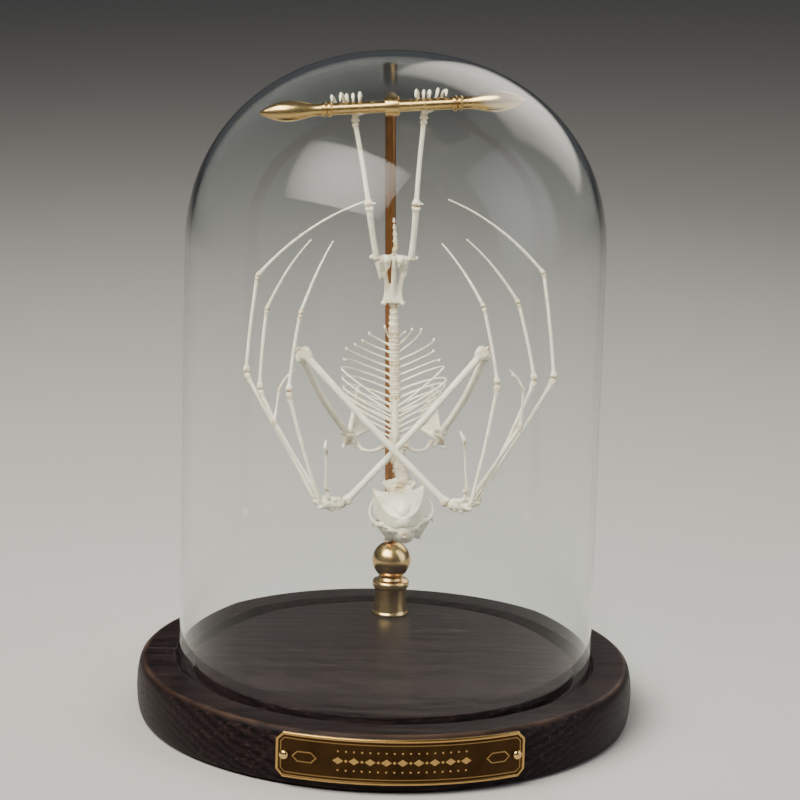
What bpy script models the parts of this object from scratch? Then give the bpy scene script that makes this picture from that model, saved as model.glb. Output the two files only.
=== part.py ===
"""Skeleton of a short-nosed fruit bat, hung head down by its feet from a brass perch under a glass dome.

Sizes are in millimetres until finish() turns them into metres. +Z is up, the bat faces -Y, and the
origin is the middle of the base's underside. "left" and "right" are the bat's own: its left shoulder is
at -X, and because the forearms cross, its left hand is at +X.
"""

import math

import bmesh
import bpy
from mathutils import Matrix, Vector

MM = 0.001
GAP = 0.3  # clearance between neighbouring pieces

# Base, dome and plaque
BASE_HEIGHT = 21.0
BASE_RADIUS = 90.5
BASE_TOP_RADIUS = 88.5
DISC_RADIUS = 68.0  # the raised middle that the dome stands round
GROOVE_RADIUS = 76.2
GROOVE_DEPTH = 4.0
DOME_RADIUS = 75.0
DOME_WALL = 2.0
DOME_STRAIGHT = 152.0  # height of the cylindrical part above the base
DOME_CROWN = 70.0
CROWN_POWER = 2.13  # 2 is an ellipse, more is squarer at the shoulder
PLAQUE_BOTTOM = 4.2
PLAQUE_TOP = 20.6
PLAQUE_HALF_ANGLE = 28.0
PLAQUE_TURN = 4.6
PLAQUE_THICKNESS = 1.4
NAIL_ANGLE = 26.0
NAIL_RADIUS = 1.7

# Brass stand
FOOT_AT = Vector((1.4, 53.5, BASE_HEIGHT + GAP))
POLE_TOP = Vector((-3.5, 50.0, 219.6))
POLE_RADIUS = 2.0
BAR_AT = Vector((-2.6, 12.0, 222.3))
BAR_TILT = 4.4
BAR_HALF = 47.6
BAR_RADIUS = 2.15
COLLAR_RADIUS = 3.4
COLLAR_WIDTH = 5.0

# Trunk
SPINE_LOW = Vector((1.9, 22.5, 100.0))  # first thoracic vertebra
SPINE_HIGH = Vector((0.0, 26.0, 136.2))  # last thoracic vertebra
VERTEBRAE = 13
RIB_RADIUS = 0.36
RIB_REACH = (12.0, 14.7, 15.9, 16.8, 18.0, 18.4, 18.4, 17.2, 15.6, 14.2, 10.5, 7.8, 3.8)
RIB_RISE = (6.4, 7.0, 7.2, 7.6, 7.6, 7.5, 9.0, 9.3, 9.8, 9.5, 8.7, 7.0, 4.5)
TRUE_RIBS = 7  # these reach the sternum through a costal cartilage
STERNUM_TOP = Vector((1.2, -0.4, 117.0))
STERNUM_FOOT = Vector((1.9, -1.0, 102.0))
SKULL_AT = Vector((4.6, -8.0, 76.4))
SKULL_TURN = (8.0, -6.0, 4.0)  # degrees about X, Y and Z: nose a little down, left cheek lower, nose to +X

# Joint places of the two wings. Each hand's key is the wing it belongs to.
WINGS = {
    "left": {
        "shoulder": (-15.0, 12.0, 101.0),
        "elbow": (-32.0, -21.0, 139.0),
        "wrist": (21.0, -27.0, 86.6),
        "palm": (26.6, -27.0, 86.8),
        "thumb": ((26.6, -29.6, 90.4), (28.1, -30.6, 93.8), (26.4, -33.0, 110.0), (24.3, -33.0, 115.4)),
        "digit2": ((29.4, -28.0, 89.8), (47.4, -25.6, 117.4), (46.4, -25.0, 128.8), (41.0, -25.0, 136.0)),
        "digit3": ((31.6, -24.8, 89.2), (57.2, -16.0, 131.0), (52.4, -12.0, 168.0), (18.1, -20.0, 194.9)),
        "digit4": ((31.6, -27.0, 88.4), (50.2, -20.0, 131.0), (43.7, -17.0, 158.2), (24.8, -22.0, 181.3)),
        "digit5": ((28.6, -31.4, 87.4), (36.9, -32.0, 132.0), (31.2, -30.0, 159.3), (16.1, -26.0, 180.4)),
    },
    "right": {
        "shoulder": (17.5, 12.0, 102.0),
        "elbow": (32.5, -19.0, 140.6),
        "wrist": (-15.8, -21.0, 84.6),
        "palm": (-21.0, -21.0, 84.6),
        "thumb": ((-21.6, -23.4, 88.2), (-22.5, -24.0, 91.0), (-23.0, -27.0, 105.6), (-22.7, -27.0, 109.5)),
        "digit2": ((-25.0, -22.2, 87.4), (-39.2, -19.4, 112.0), (-38.3, -18.4, 125.3), (-34.5, -18.4, 132.3)),
        "digit3": ((-26.4, -18.4, 86.6), (-52.0, -10.0, 128.6), (-48.7, -8.0, 163.5), (-10.5, -18.0, 193.4)),
        "digit4": ((-26.2, -20.5, 85.6), (-46.8, -14.0, 123.5), (-45.0, -12.0, 152.3), (-29.7, -18.0, 178.8)),
        "digit5": ((-24.2, -25.6, 85.0), (-36.1, -28.0, 126.4), (-32.6, -27.0, 154.4), (-21.9, -23.0, 179.5)),
    },
}
LEGS = {
    "left": {
        "hip": (-6.9, 19.7, 165.6),
        "knee": (-10.1, 15.0, 185.4),
        "ankle": (-15.8, 15.6, 215.6),
        "toes": (-24.3, -21.0, -19.0, -16.7, -14.3),
    },
    "right": {
        "hip": (5.6, 19.7, 165.6),
        "knee": (6.9, 15.0, 185.8),
        "ankle": (8.8, 15.6, 217.2),
        "toes": (5.8, 8.4, 10.5, 13.4, 16.3),
    },
}
SIDE = {"left": -1.0, "right": 1.0}


def clear_scene():
    for obj in list(bpy.data.objects):
        bpy.data.objects.remove(obj, do_unlink=True)


def material(name, colour, roughness, metallic=0.0, alpha=1.0):
    made = bpy.data.materials.new(name)
    made.use_nodes = True
    shader = made.node_tree.nodes["Principled BSDF"]
    shader.inputs["Base Color"].default_value = (*colour, 1.0)
    shader.inputs["Roughness"].default_value = roughness
    shader.inputs["Metallic"].default_value = metallic
    shader.inputs["Alpha"].default_value = alpha
    made.diffuse_color = (*colour, alpha)
    return made


def mesh_object(name, bm, finish_material=None):
    """A new object from a bmesh in millimetres."""
    bmesh.ops.recalc_face_normals(bm, faces=bm.faces)
    bmesh.ops.scale(bm, vec=(MM, MM, MM), verts=bm.verts)
    mesh = bpy.data.meshes.new(name)
    bm.to_mesh(mesh)
    bm.free()
    mesh.shade_smooth()
    mesh.set_sharp_from_angle(angle=math.radians(35))
    if finish_material:
        mesh.materials.append(finish_material)
    obj = bpy.data.objects.new(name, mesh)
    bpy.context.scene.collection.objects.link(obj)
    return obj


def boolean(obj, cutter, operation):
    """Applies one Boolean to obj and removes the other shape."""
    modifier = obj.modifiers.new("Boolean", "BOOLEAN")
    modifier.operation = operation
    modifier.object = cutter
    graph = bpy.context.evaluated_depsgraph_get()
    mesh = bpy.data.meshes.new_from_object(obj.evaluated_get(graph))
    obj.modifiers.clear()
    obj.data = mesh
    mesh.name = obj.name
    bpy.data.objects.remove(cutter, do_unlink=True)
    return obj


def joined(name, shapes, finish_material):
    """One solid from overlapping shapes."""
    body = mesh_object(name, shapes[0], finish_material)
    for shape in shapes[1:]:
        boolean(body, mesh_object("lobe", shape), "UNION")
    return body


def turned(profile, sides, place=None):
    """A closed solid of revolution about Z from (radius, height) pairs; radius 0 makes a pole."""
    bm = bmesh.new()
    rings = []
    for radius, height in profile:
        if radius == 0.0:
            rings.append([bm.verts.new((0.0, 0.0, height))])
            continue
        angles = [2 * math.pi * i / sides for i in range(sides)]
        rings.append([bm.verts.new((radius * math.cos(a), radius * math.sin(a), height)) for a in angles])
    for low, high in zip(rings, rings[1:]):
        for i in range(sides):
            j = (i + 1) % sides
            corners = [low[i % len(low)], low[j % len(low)], high[j % len(high)], high[i % len(high)]]
            bm.faces.new(list(dict.fromkeys(corners)))
    if place:
        bm.transform(place)
    return bm


def tube(path, radii, sides=6, flatten=1.0, flat_axis=None):
    """A closed tube along a path, with a radius at each point. flatten thins it along flat_axis."""
    bm = bmesh.new()
    points = [Vector(p) for p in path]
    across = flat_axis.copy() if flat_axis else None
    rings = []
    for i, point in enumerate(points):
        along = (points[min(i + 1, len(points) - 1)] - points[max(i - 1, 0)]).normalized()
        if across is None:
            across = along.orthogonal()
        across = (across - across.dot(along) * along).normalized()
        other = along.cross(across)
        ring = []
        for k in range(sides):
            angle = 2 * math.pi * k / sides
            offset = across * math.cos(angle) * flatten + other * math.sin(angle)
            ring.append(bm.verts.new(point + offset * radii[i]))
        rings.append(ring)
    for low, high in zip(rings, rings[1:]):
        for k in range(sides):
            j = (k + 1) % sides
            bm.faces.new((low[k], low[j], high[j], high[k]))
    bm.faces.new(list(reversed(rings[0])))
    bm.faces.new(rings[-1])
    return bm


def ball(centre, radii, subdivisions=2, turn=None):
    """An ellipsoid."""
    bm = bmesh.new()
    bmesh.ops.create_icosphere(bm, subdivisions=subdivisions, radius=1.0)
    place = Matrix.Translation(Vector(centre)) @ (turn or Matrix()) @ Matrix.Diagonal((*radii, 1.0))
    bm.transform(place)
    return bm


def curve(points, steps):
    """Points along a Bezier curve with any number of control points."""
    controls = [Vector(p) for p in points]
    found = []
    for i in range(steps + 1):
        level = controls
        while len(level) > 1:
            level = [a.lerp(b, i / steps) for a, b in zip(level, level[1:])]
        found.append(level[0])
    return found


def limb_bone(start, end, shaft, head_a, head_b, bow=(0, 0, 0), sides=6):
    """A long bone between two points: knobs of the given radii on a thinner, slightly bowed shaft."""
    a, b = Vector(start), Vector(end)
    length = (b - a).length
    bulge = Vector(bow)
    stations = [
        (0.0, 0.6 * head_a),
        (0.9 * head_a / length, head_a),
        (3.6 * head_a / length, shaft),
        (1 - 3.6 * head_b / length, shaft),
        (1 - 0.9 * head_b / length, head_b),
        (1.0, 0.6 * head_b),
    ]
    if bulge.length > 0:
        stations.insert(3, (0.5, shaft))
    path = [a.lerp(b, t) + bulge * 4 * t * (1 - t) for t, _ in stations]
    return tube(path, [radius for _, radius in stations], sides)


def between(start, end, trim_start, trim_end):
    """The two ends of a bone that stops short of both joint places."""
    a, b = Vector(start), Vector(end)
    along = (b - a).normalized()
    return a + along * trim_start, b - along * trim_end


# ---- Base, dome, plaque -------------------------------------------------------------------------


def build_base(wood):
    side = [(BASE_TOP_RADIUS - 1.6, 0.0)]
    middle = 0.5 * BASE_HEIGHT
    for share in (-0.88, -0.45, 0.45, 0.88):
        height = middle * (1 + share)
        swell = (BASE_RADIUS - BASE_TOP_RADIUS) * math.sqrt(1 - share**2)
        side.append((BASE_TOP_RADIUS + swell, height))
    profile = [(0.0, 0.0), *side]
    profile += [(BASE_TOP_RADIUS - 0.4, BASE_HEIGHT), (GROOVE_RADIUS, BASE_HEIGHT)]
    profile += [(GROOVE_RADIUS, BASE_HEIGHT - GROOVE_DEPTH), (DISC_RADIUS, BASE_HEIGHT - GROOVE_DEPTH)]
    profile += [(DISC_RADIUS, BASE_HEIGHT), (0.0, BASE_HEIGHT)]
    return mesh_object("base", turned(profile, 36), wood)


def crown_profile(radius, crown, steps):
    """(radius, height) pairs from the shoulder to the pole."""
    points = []
    for i in range(steps + 1):
        angle = 0.5 * math.pi * i / steps
        reach = max(0.0, math.cos(angle)) ** (2 / CROWN_POWER)
        rise = math.sin(angle) ** (2 / CROWN_POWER)
        points.append((radius * reach if i < steps else 0.0, BASE_HEIGHT + DOME_STRAIGHT + crown * rise))
    return points


def build_dome(glass):
    bottom = BASE_HEIGHT - GROOVE_DEPTH + GAP
    inner = DOME_RADIUS - DOME_WALL
    outside = [(DOME_RADIUS, bottom), *crown_profile(DOME_RADIUS, DOME_CROWN, 6)]
    inside = [*reversed(crown_profile(inner, DOME_CROWN - DOME_WALL, 6)), (inner, bottom)]
    bm = bmesh.new()
    for part in (turned(outside, 32), turned(inside, 32)):
        mesh = bpy.data.meshes.new("shell")
        part.to_mesh(mesh)
        part.free()
        bm.from_mesh(mesh)
        bpy.data.meshes.remove(mesh)
    edges = [edge for edge in bm.edges if edge.is_boundary]
    bmesh.ops.bridge_loops(bm, edges=edges)
    return mesh_object("dome", bm, glass)


def around_base(angle, radius, height):
    """A point at an angle from the plaque's middle, seen from above."""
    turn = math.radians(angle + PLAQUE_TURN)
    return Vector((radius * math.sin(turn), -radius * math.cos(turn), height))


def build_plaque(brass):
    """A plate bent round the base, with its four corners cut off."""
    bm = bmesh.new()
    chamfer = 2.6
    inner = BASE_RADIUS + GAP
    steps = 14
    rows = []
    for i in range(steps + 1):
        angle = PLAQUE_HALF_ANGLE * (2 * i / steps - 1)
        edge = (PLAQUE_HALF_ANGLE - abs(angle)) * math.radians(1) * inner
        cut = max(0.0, chamfer - edge)
        low, high = PLAQUE_BOTTOM + cut, PLAQUE_TOP - cut
        outer = inner + PLAQUE_THICKNESS
        places = ((inner, low), (outer, low), (outer, high), (inner, high))
        rows.append([bm.verts.new(around_base(angle, radius, height)) for radius, height in places])
    for first, second in zip(rows, rows[1:]):
        for k in range(4):
            j = (k + 1) % 4
            bm.faces.new((first[k], first[j], second[j], second[k]))
    bm.faces.new(rows[0])
    bm.faces.new(list(reversed(rows[-1])))
    return mesh_object("plaque", bm, brass)


def build_nails(brass):
    """Round heads that pin the plaque at its two ends."""
    rise = [(NAIL_RADIUS, 0.0), (0.94 * NAIL_RADIUS, 0.4), (0.6 * NAIL_RADIUS, 1.0)]
    profile = [(0.0, 0.0), *rise, (0.0, 1.25)]
    for name, angle in (("nail_left", -NAIL_ANGLE), ("nail_right", NAIL_ANGLE)):
        height = 0.5 * (PLAQUE_BOTTOM + PLAQUE_TOP)
        place = around_base(angle, BASE_RADIUS + PLAQUE_THICKNESS + 2 * GAP, height)
        turn = Matrix.Rotation(math.radians(angle + PLAQUE_TURN), 4, "Z")
        lie = Matrix.Rotation(math.radians(90), 4, "X")
        mesh_object(name, turned(profile, 12, Matrix.Translation(place) @ turn @ lie), brass)


# ---- Brass stand --------------------------------------------------------------------------------


def build_pole_foot(brass):
    flare = [(0.0, 0.0), (6.6, 0.0), (6.1, 3.0), (6.0, 7.0), (6.3, 10.2)]
    ring = [(7.0, 10.8), (7.0, 13.0), (6.0, 13.7)]
    ball_centre, ball_radius = 20.9, 7.3
    bulb = []
    for degrees in (-66, -35, 0, 35, 66):
        angle = math.radians(degrees)
        bulb.append((ball_radius * math.cos(angle), ball_centre + ball_radius * math.sin(angle)))
    top = [(0.0, bulb[-1][1])]
    return mesh_object("pole_foot", turned(flare + ring + bulb + top, 14, Matrix.Translation(FOOT_AT)), brass)


def build_pole(brass):
    start = FOOT_AT + Vector((0, 0, 20.9 + 7.3 * math.sin(math.radians(66)) + GAP))
    along = (POLE_TOP - FOOT_AT).normalized()
    start.x += along.x * (start.z - FOOT_AT.z)
    start.y += along.y * (start.z - FOOT_AT.z)
    end = POLE_TOP - along * (2.6 + GAP)
    return mesh_object("pole", tube([start, end], [POLE_RADIUS] * 2, 12), brass)


def bar_frame():
    """Turns a shape made along Z into one along the bar."""
    tilt = Matrix.Rotation(math.radians(-BAR_TILT), 4, "Y")
    return Matrix.Translation(BAR_AT) @ tilt @ Matrix.Rotation(math.radians(90), 4, "Y")


def build_pole_arm(brass):
    """Runs forward from the pole's top and ends in a collar that the bar passes through."""
    along = (BAR_AT - POLE_TOP).normalized()
    back = POLE_TOP - along * 1.8
    arm = tube([back, back + along * 1.4, BAR_AT - along * 1.3], [1.6, 2.5, 2.5], 12)
    half = 0.5 * COLLAR_WIDTH
    rim = COLLAR_RADIUS - 0.4
    edge = half - 0.4
    wall = [(rim, -half), (COLLAR_RADIUS, -edge), (COLLAR_RADIUS, edge), (rim, half)]
    profile = [(0.0, -half), *wall, (0.0, half)]
    made = joined("pole_arm", [arm, turned(profile, 16, bar_frame())], brass)
    hole = BAR_RADIUS + GAP
    cutter = turned([(0.0, -10.0), (hole, -10.0), (hole, 10.0), (0.0, 10.0)], 16, bar_frame())
    return boolean(made, mesh_object("bar_hole", cutter), "DIFFERENCE")


def build_bar(brass):
    """A turned rod: plain middle, a double ring, a neck and a pointed bulb at each end."""
    half = [
        (BAR_RADIUS, 21.5),
        (2.85, 21.7),
        (2.85, 22.9),
        (2.2, 23.2),
        (2.7, 23.7),
        (2.7, 24.7),
        (2.25, 25.2),
        (2.4, 29.0),
        (3.85, 38.0),
        (3.1, 42.6),
        (1.2, 46.2),
        (0.0, BAR_HALF),
    ]
    profile = [(radius, -along) for radius, along in reversed(half)] + half
    return mesh_object("bar", turned(profile, 10, bar_frame()), brass)


# ---- Trunk --------------------------------------------------------------------------------------


def column(start, end, count, body, waist, sides=6):
    """A row of vertebrae: thick bodies with narrower discs between them."""
    a, b = Vector(start), Vector(end)
    path, radii = [], []
    for i in range(count):
        for share, radius in ((0.06, waist), (0.55, body)):
            path.append(a.lerp(b, (i + share) / count))
            radii.append(radius)
    path.append(b)
    radii.append(waist)
    return tube(path, radii, sides)


def rib_path(index, sign):
    """From the spine out and up round the chest to the rib's free or sternal end."""
    share = index / (VERTEBRAE - 1)
    vertebra = SPINE_LOW.lerp(SPINE_HIGH, (index + 0.5) / VERTEBRAE)
    root = vertebra + Vector((1.2 * sign, 1.0, 0.0))
    reach, rise = RIB_REACH[index], RIB_RISE[index]
    front = 8.0 + 12.5 * max(0.0, share - 0.5) / 0.5
    late = min(3, max(0, index - 5))  # ribs near the loin rise more evenly along their length
    return curve(
        (
            root,
            (vertebra.x + sign * 0.85 * reach, 27.0, root.z + (0.75 - 0.11 * late) * rise),
            (vertebra.x + sign * 1.1 * reach, 0.5 * (27.0 + front), root.z + (1.0 - 0.05 * late) * rise),
            (vertebra.x + sign * reach, front, root.z + rise),
        ),
        4,
    )


def cartilage_path(index, sign):
    """From the rib's end forward and down to the side of the sternum."""
    start = rib_path(index, sign)[-1]
    share = index / (TRUE_RIBS - 1)
    end = STERNUM_FOOT.lerp(STERNUM_TOP, 0.12 + 0.8 * share) + Vector((sign * 2.1, 0.6, 0.0))
    middle = start.lerp(end, 0.45) + Vector((sign * 1.0, -2.6, 0.0))
    return curve((start, middle, end), 2)


def build_rib_cage(side, bone):
    """One side of the chest: half the thoracic spine with its ribs and costal cartilages."""
    sign = SIDE[side]
    shapes = [column(SPINE_LOW, SPINE_HIGH, VERTEBRAE, 2.5, 1.9)]
    for index in range(VERTEBRAE):
        path = rib_path(index, sign)
        if index < TRUE_RIBS:
            path += cartilage_path(index, sign)[1:]
        shapes.append(tube(path, [RIB_RADIUS] * len(path), 4))
    cage = joined(f"rib_cage_{side}", shapes, bone)
    along = (SPINE_HIGH - SPINE_LOW).normalized()
    lean = math.atan2(along.x, along.z)
    block = bmesh.new()
    bmesh.ops.create_cube(block, size=1.0)
    place = Matrix.Translation(SPINE_LOW.lerp(SPINE_HIGH, 0.5)) @ Matrix.Rotation(lean, 4, "Y")
    shift = Matrix.Translation((sign * (15.0 + 0.5 * GAP), 0, 0)) @ Matrix.Diagonal((30.0, 90.0, 60.0, 1.0))
    block.transform(place @ shift)
    return boolean(cage, mesh_object("half_space", block), "INTERSECT")


def build_sternum(bone):
    body = tube(
        [STERNUM_TOP, STERNUM_TOP.lerp(STERNUM_FOOT, 0.3), STERNUM_TOP.lerp(STERNUM_FOOT, 0.7), STERNUM_FOOT],
        [0.7, 1.0, 1.1, 1.3],
        6,
    )
    foot = STERNUM_FOOT
    keel = tube([foot + Vector((0, -2.2, 2.0)), foot + Vector((0, -0.6, -1.6))], [0.6, 1.2], 6)
    tips = [foot + Vector((2.9 * sign, 0.8, -1.2)) for sign in SIDE.values()]
    wings = tube([tips[0], foot + Vector((0, -0.4, -0.4)), tips[1]], [0.6, 1.1, 0.6], 6)
    return joined("sternum", [body, keel, wings], bone)


def build_spine(bone):
    """The neck, the loin, and the short tail that stands up behind the pelvis."""
    neck_high = SPINE_LOW + Vector((0.0, -0.4, -1.1))
    neck_low = Vector((3.9, 8.6, 84.4))
    neck = column(neck_high, neck_low, 6, 2.5, 1.8)
    atlas = ball(neck_low + Vector((0, 0, 0.6)), (5.2, 1.6, 2.0), 1)
    joined("neck", [neck, atlas], bone)
    lumbar_low = SPINE_HIGH + Vector((0.0, 0.0, 0.8))
    lumbar_high = Vector((-0.2, 26.0, 146.6))
    shapes = [column(lumbar_low, lumbar_high, 3, 2.2, 1.6)]
    for i in range(3):
        middle = lumbar_low.lerp(lumbar_high, (i + 0.5) / 3)
        spurs = [middle + Vector((-2.6, 0.2, 0.4)), middle, middle + Vector((2.6, 0.2, 0.4))]
        shapes.append(tube(spurs, [0.5, 0.9, 0.5], 4))
    joined("lumbar", shapes, bone)
    mesh_object("tail", column((-0.1, 26.2, 168.4), (-1.0, 27.2, 178.0), 4, 0.75, 0.45, 6), bone)


def build_pelvis(bone):
    midline = [(-0.2, 26.0, 147.0), (-0.2, 26.2, 153.0), (-0.1, 26.2, 160.0), (-0.1, 26.2, 167.9)]
    sacrum = tube(midline, [2.3, 2.0, 1.5, 0.8], 6)
    shapes = [sacrum]
    for sign in SIDE.values():
        wing = Vector((4.0 * sign - 0.3, 24.4, 147.2))
        socket = Vector((3.4 * sign - 0.4, 22.4, 163.8))
        seam = Vector((0.2 * sign - 0.5, 17.0, 158.8))
        pubis = (2.2 * sign - 0.5, 18.6, 158.2)
        ischium = (2.6 * sign - 0.4, 19.6, 168.0)
        seam_top = (1.3 * sign - 0.5, 17.4, 163.0)
        shapes.append(tube(curve((wing, (1.9 * sign, 25.2, 153.5), socket), 4), [1.1, 1.3, 1.2, 1.3, 1.9], 5))
        shapes.append(tube([socket + Vector((0, 0, 0.6)), ischium, seam_top], [1.3, 0.9, 0.7], 5))
        shapes.append(tube([socket - Vector((0, 0, 1.2)), pubis, seam], [1.1, 0.7, 0.6], 5))
        shapes.append(tube([seam, seam_top], [0.7, 0.6], 5))
        shapes.append(tube([socket + Vector((0, 0.6, 0.4)), (-0.1, 26.0, 163.0)], [1.1, 1.0], 5))
    return joined("pelvis", shapes, bone)


# ---- Skull --------------------------------------------------------------------------------------


def skull_frame():
    """In metres. x runs across the head, y from nose to nape and z from crown to jaw, as the head hangs."""
    pitch, roll, yaw = (Matrix.Rotation(math.radians(turn), 4, axis) for turn, axis in zip(SKULL_TURN, "XYZ"))
    return Matrix.Translation(SKULL_AT * MM) @ yaw @ roll @ pitch


def build_skull(bone):
    shapes = [ball((0, 6.0, -3.2), (7.6, 9.0, 7.2), 2)]
    shapes.append(ball((0, 8.4, 2.6), (6.0, 6.4, 4.6), 1))
    face = [(0, 3.0, -3.0), (0, -4.0, -3.2), (0, -9.5, -1.2), (0, -13.6, 1.0), (0, -16.0, 2.2)]
    shapes.append(tube(face, [6.0, 5.6, 5.0, 3.7, 2.2], 8, 1.0, Vector((0, 0, 1))))
    for sign in SIDE.values():
        cheek, nape = (13.0 * sign, -7.0, 0.2), (13.2 * sign, 5.0, 1.2)
        arch = curve(((4.4 * sign, -9.0, 1.0), cheek, nape, (6.0 * sign, 8.6, 1.2)), 6)
        shapes.append(tube(arch, [1.4, 1.2, 1.0, 0.9, 0.9, 1.1, 1.3], 5))
        shapes.append(tube([(3.6 * sign, -3.4, -5.4), (6.2 * sign, -3.2, -8.4)], [1.4, 0.5], 5))
    skull = joined("skull", shapes, bone)
    skull.data.transform(skull_frame())
    return skull


def build_mandible(bone):
    chin = [(0, -15.6, 6.6), (0, -11.0, 7.2), (0, -5.0, 7.0), (0, -0.5, 6.6)]
    shapes = [tube(chin, [1.8, 3.6, 4.6, 4.2], 6, 0.36, Vector((0, 0, 1)))]
    for sign in SIDE.values():
        canine, cheek = (3.6 * sign, -12.0, 8.0), (6.4 * sign, -3.0, 8.2)
        body = curve(((0.4 * sign, -15.4, 7.2), canine, cheek, (8.4 * sign, 4.4, 8.4)), 4)
        shapes.append(tube(body, [1.3, 1.5, 1.6, 1.5, 0.9], 6))
        coronoid = [(7.6 * sign, -0.6, 7.6), (8.7 * sign, 0.6, 3.6), (8.8 * sign, 0.4, -1.6)]
        shapes.append(tube(coronoid, [1.1, 0.9, 0.5], 5))
        shapes.append(tube([(8.0 * sign, 2.6, 7.6), (8.6 * sign, 4.4, 4.4)], [1.0, 0.7], 5))
    jaw = joined("mandible", shapes, bone)
    jaw.data.transform(skull_frame())
    return jaw


# ---- Wings --------------------------------------------------------------------------------------


def build_shoulder(side, joints, bone):
    """Shoulder blade and collarbone."""
    sign = SIDE[side]
    shoulder = Vector(joints["shoulder"])
    socket = shoulder + Vector((0.6 * sign, 3.6, -2.6))
    blade = bmesh.new()
    tail_corner = shoulder + Vector((-2.4 * sign, 17.6, 14.0))
    corners = (socket, tail_corner, shoulder + Vector((-8.2 * sign, 17.4, -1.2)))
    centre = sum(corners, Vector()) / 3
    normal = (corners[1] - corners[0]).cross(corners[2] - corners[0]).normalized() * 0.5
    rings = []
    for offset in (normal, -normal):
        rings.append([blade.verts.new(corner + offset) for corner in corners])
    blade.faces.new(rings[0])
    blade.faces.new(list(reversed(rings[1])))
    for k in range(3):
        j = (k + 1) % 3
        blade.faces.new((rings[0][j], rings[0][k], rings[1][k], rings[1][j]))
    middle = corners[1].lerp(corners[2], 0.6)
    ridge = bmesh.new()
    bmesh.ops.create_cube(ridge, size=1.0)
    along, away = (middle - socket).normalized(), normal.normalized()
    frame = Matrix((along, along.cross(away), away)).transposed().to_4x4()
    size = Matrix.Diagonal((0.7 * (middle - socket).length, 0.9, 4.0, 1.0))
    ridge.transform(Matrix.Translation(socket.lerp(middle, 0.48)) @ frame @ size)
    knob = ball(socket, (1.7, 1.7, 1.7), 1)
    joined(f"scapula_{side}", [blade, ridge, knob], bone)
    start = STERNUM_FOOT + Vector((3.9 * sign, 1.0, -1.5))
    end = shoulder + Vector((-2.9 * sign, 0.6, -2.9))
    leave, arrive = start + Vector((4.0 * sign, 1.0, -3.4)), end + Vector((-1.4 * sign, -2.0, -3.2))
    arc = curve((start, leave, arrive, end), 5)
    mesh_object(f"clavicle_{side}", tube(arc, [0.7, 0.6, 0.55, 0.55, 0.6, 0.7], 6), bone)


def build_arm(side, joints, bone):
    shoulder, elbow, wrist = joints["shoulder"], joints["elbow"], joints["wrist"]
    humerus_end = Vector(elbow) + Vector((0, 2.6, -1.2))
    radius_start = Vector(elbow) + Vector((0, -2.4, 1.4))
    mesh_object(f"humerus_{side}", limb_bone(shoulder, humerus_end, 1.4, 2.3, 2.2, (0, 0, 0), 8), bone)
    ends = between(radius_start, wrist, 0.0, 0.6)
    mesh_object(f"radius_{side}", limb_bone(*ends, 1.45, 2.2, 2.1, (0, -0.6, -0.8), 8), bone)
    palm = Vector(joints["palm"])
    toward = (palm - Vector(wrist)).normalized()
    middle = [Vector(wrist) + toward * 0.9, Vector(wrist) + toward * 2.2, palm, palm + toward * 1.6]
    mesh_object(f"carpus_{side}", tube(middle, [1.8, 2.3, 2.5, 1.5], 8), bone)


def build_digit(side, number, places, bone):
    """Metacarpal and phalanges of one finger. The last phalanx bends inwards and ends in a thin tip."""
    base, knuckle, middle, tip = (Vector(place) for place in places)
    ends = between(base, knuckle, 0.0, 0.3)
    mesh_object(f"metacarpal{number}_{side}", limb_bone(*ends, 0.72, 0.9, 1.1), bone)
    ends = between(knuckle, middle, 0.45, 0.3)
    mesh_object(f"phalanx{number}_1_{side}", limb_bone(*ends, 0.62, 1.05, 0.8), bone)
    outward = (middle - knuckle).normalized()
    start = middle + outward * 0.2 + (tip - middle).normalized() * 0.4
    control = start.lerp(tip, 0.42) + outward * 0.16 * (tip - start).length
    path = curve((start, control, tip), 6)
    radii = [0.7, 0.58, 0.52, 0.46, 0.4, 0.35, 0.3]
    mesh_object(f"phalanx{number}_2_{side}", tube(path, radii, 6), bone)


def build_short_digits(side, joints, bone):
    """The free thumb and the short second finger, each with a hooked claw."""
    base, knuckle, end, claw = (Vector(place) for place in joints["thumb"])
    start = base.lerp(knuckle, 0.1)
    thumb = tube([start, base.lerp(knuckle, 0.5), knuckle], [0.5, 0.5, 0.9], 6)
    shaft = tube([knuckle.lerp(end, t) for t in (-0.03, 0.08, 0.3, 0.8, 1.0)], [0.9, 0.95, 0.6, 0.5, 0.75], 6)
    hook = curve((knuckle.lerp(end, 0.97), end.lerp(claw, 0.5) + Vector((0, -1.4, 0.8)), claw), 4)
    joined(f"thumb_{side}", [thumb, shaft, tube(hook, [0.7, 0.75, 0.6, 0.45, 0.25], 6)], bone)
    base, knuckle, end, claw = (Vector(place) for place in joints["digit2"])
    ends = between(base, knuckle, 0.0, 0.2)
    metacarpal = limb_bone(*ends, 0.55, 0.8, 0.85)
    first = tube([knuckle.lerp(end, t) for t in (-0.05, 0.2, 1.0)], [0.7, 0.42, 0.6], 6)
    second = tube([end.lerp(claw, t) for t in (-0.05, 0.3, 0.72, 1.0)], [0.6, 0.4, 0.6, 0.25], 6)
    joined(f"digit2_{side}", [metacarpal, first, second], bone)


# ---- Legs ---------------------------------------------------------------------------------------


def bar_height(x):
    return BAR_AT.z + (x - BAR_AT.x) * math.tan(math.radians(BAR_TILT))


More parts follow.
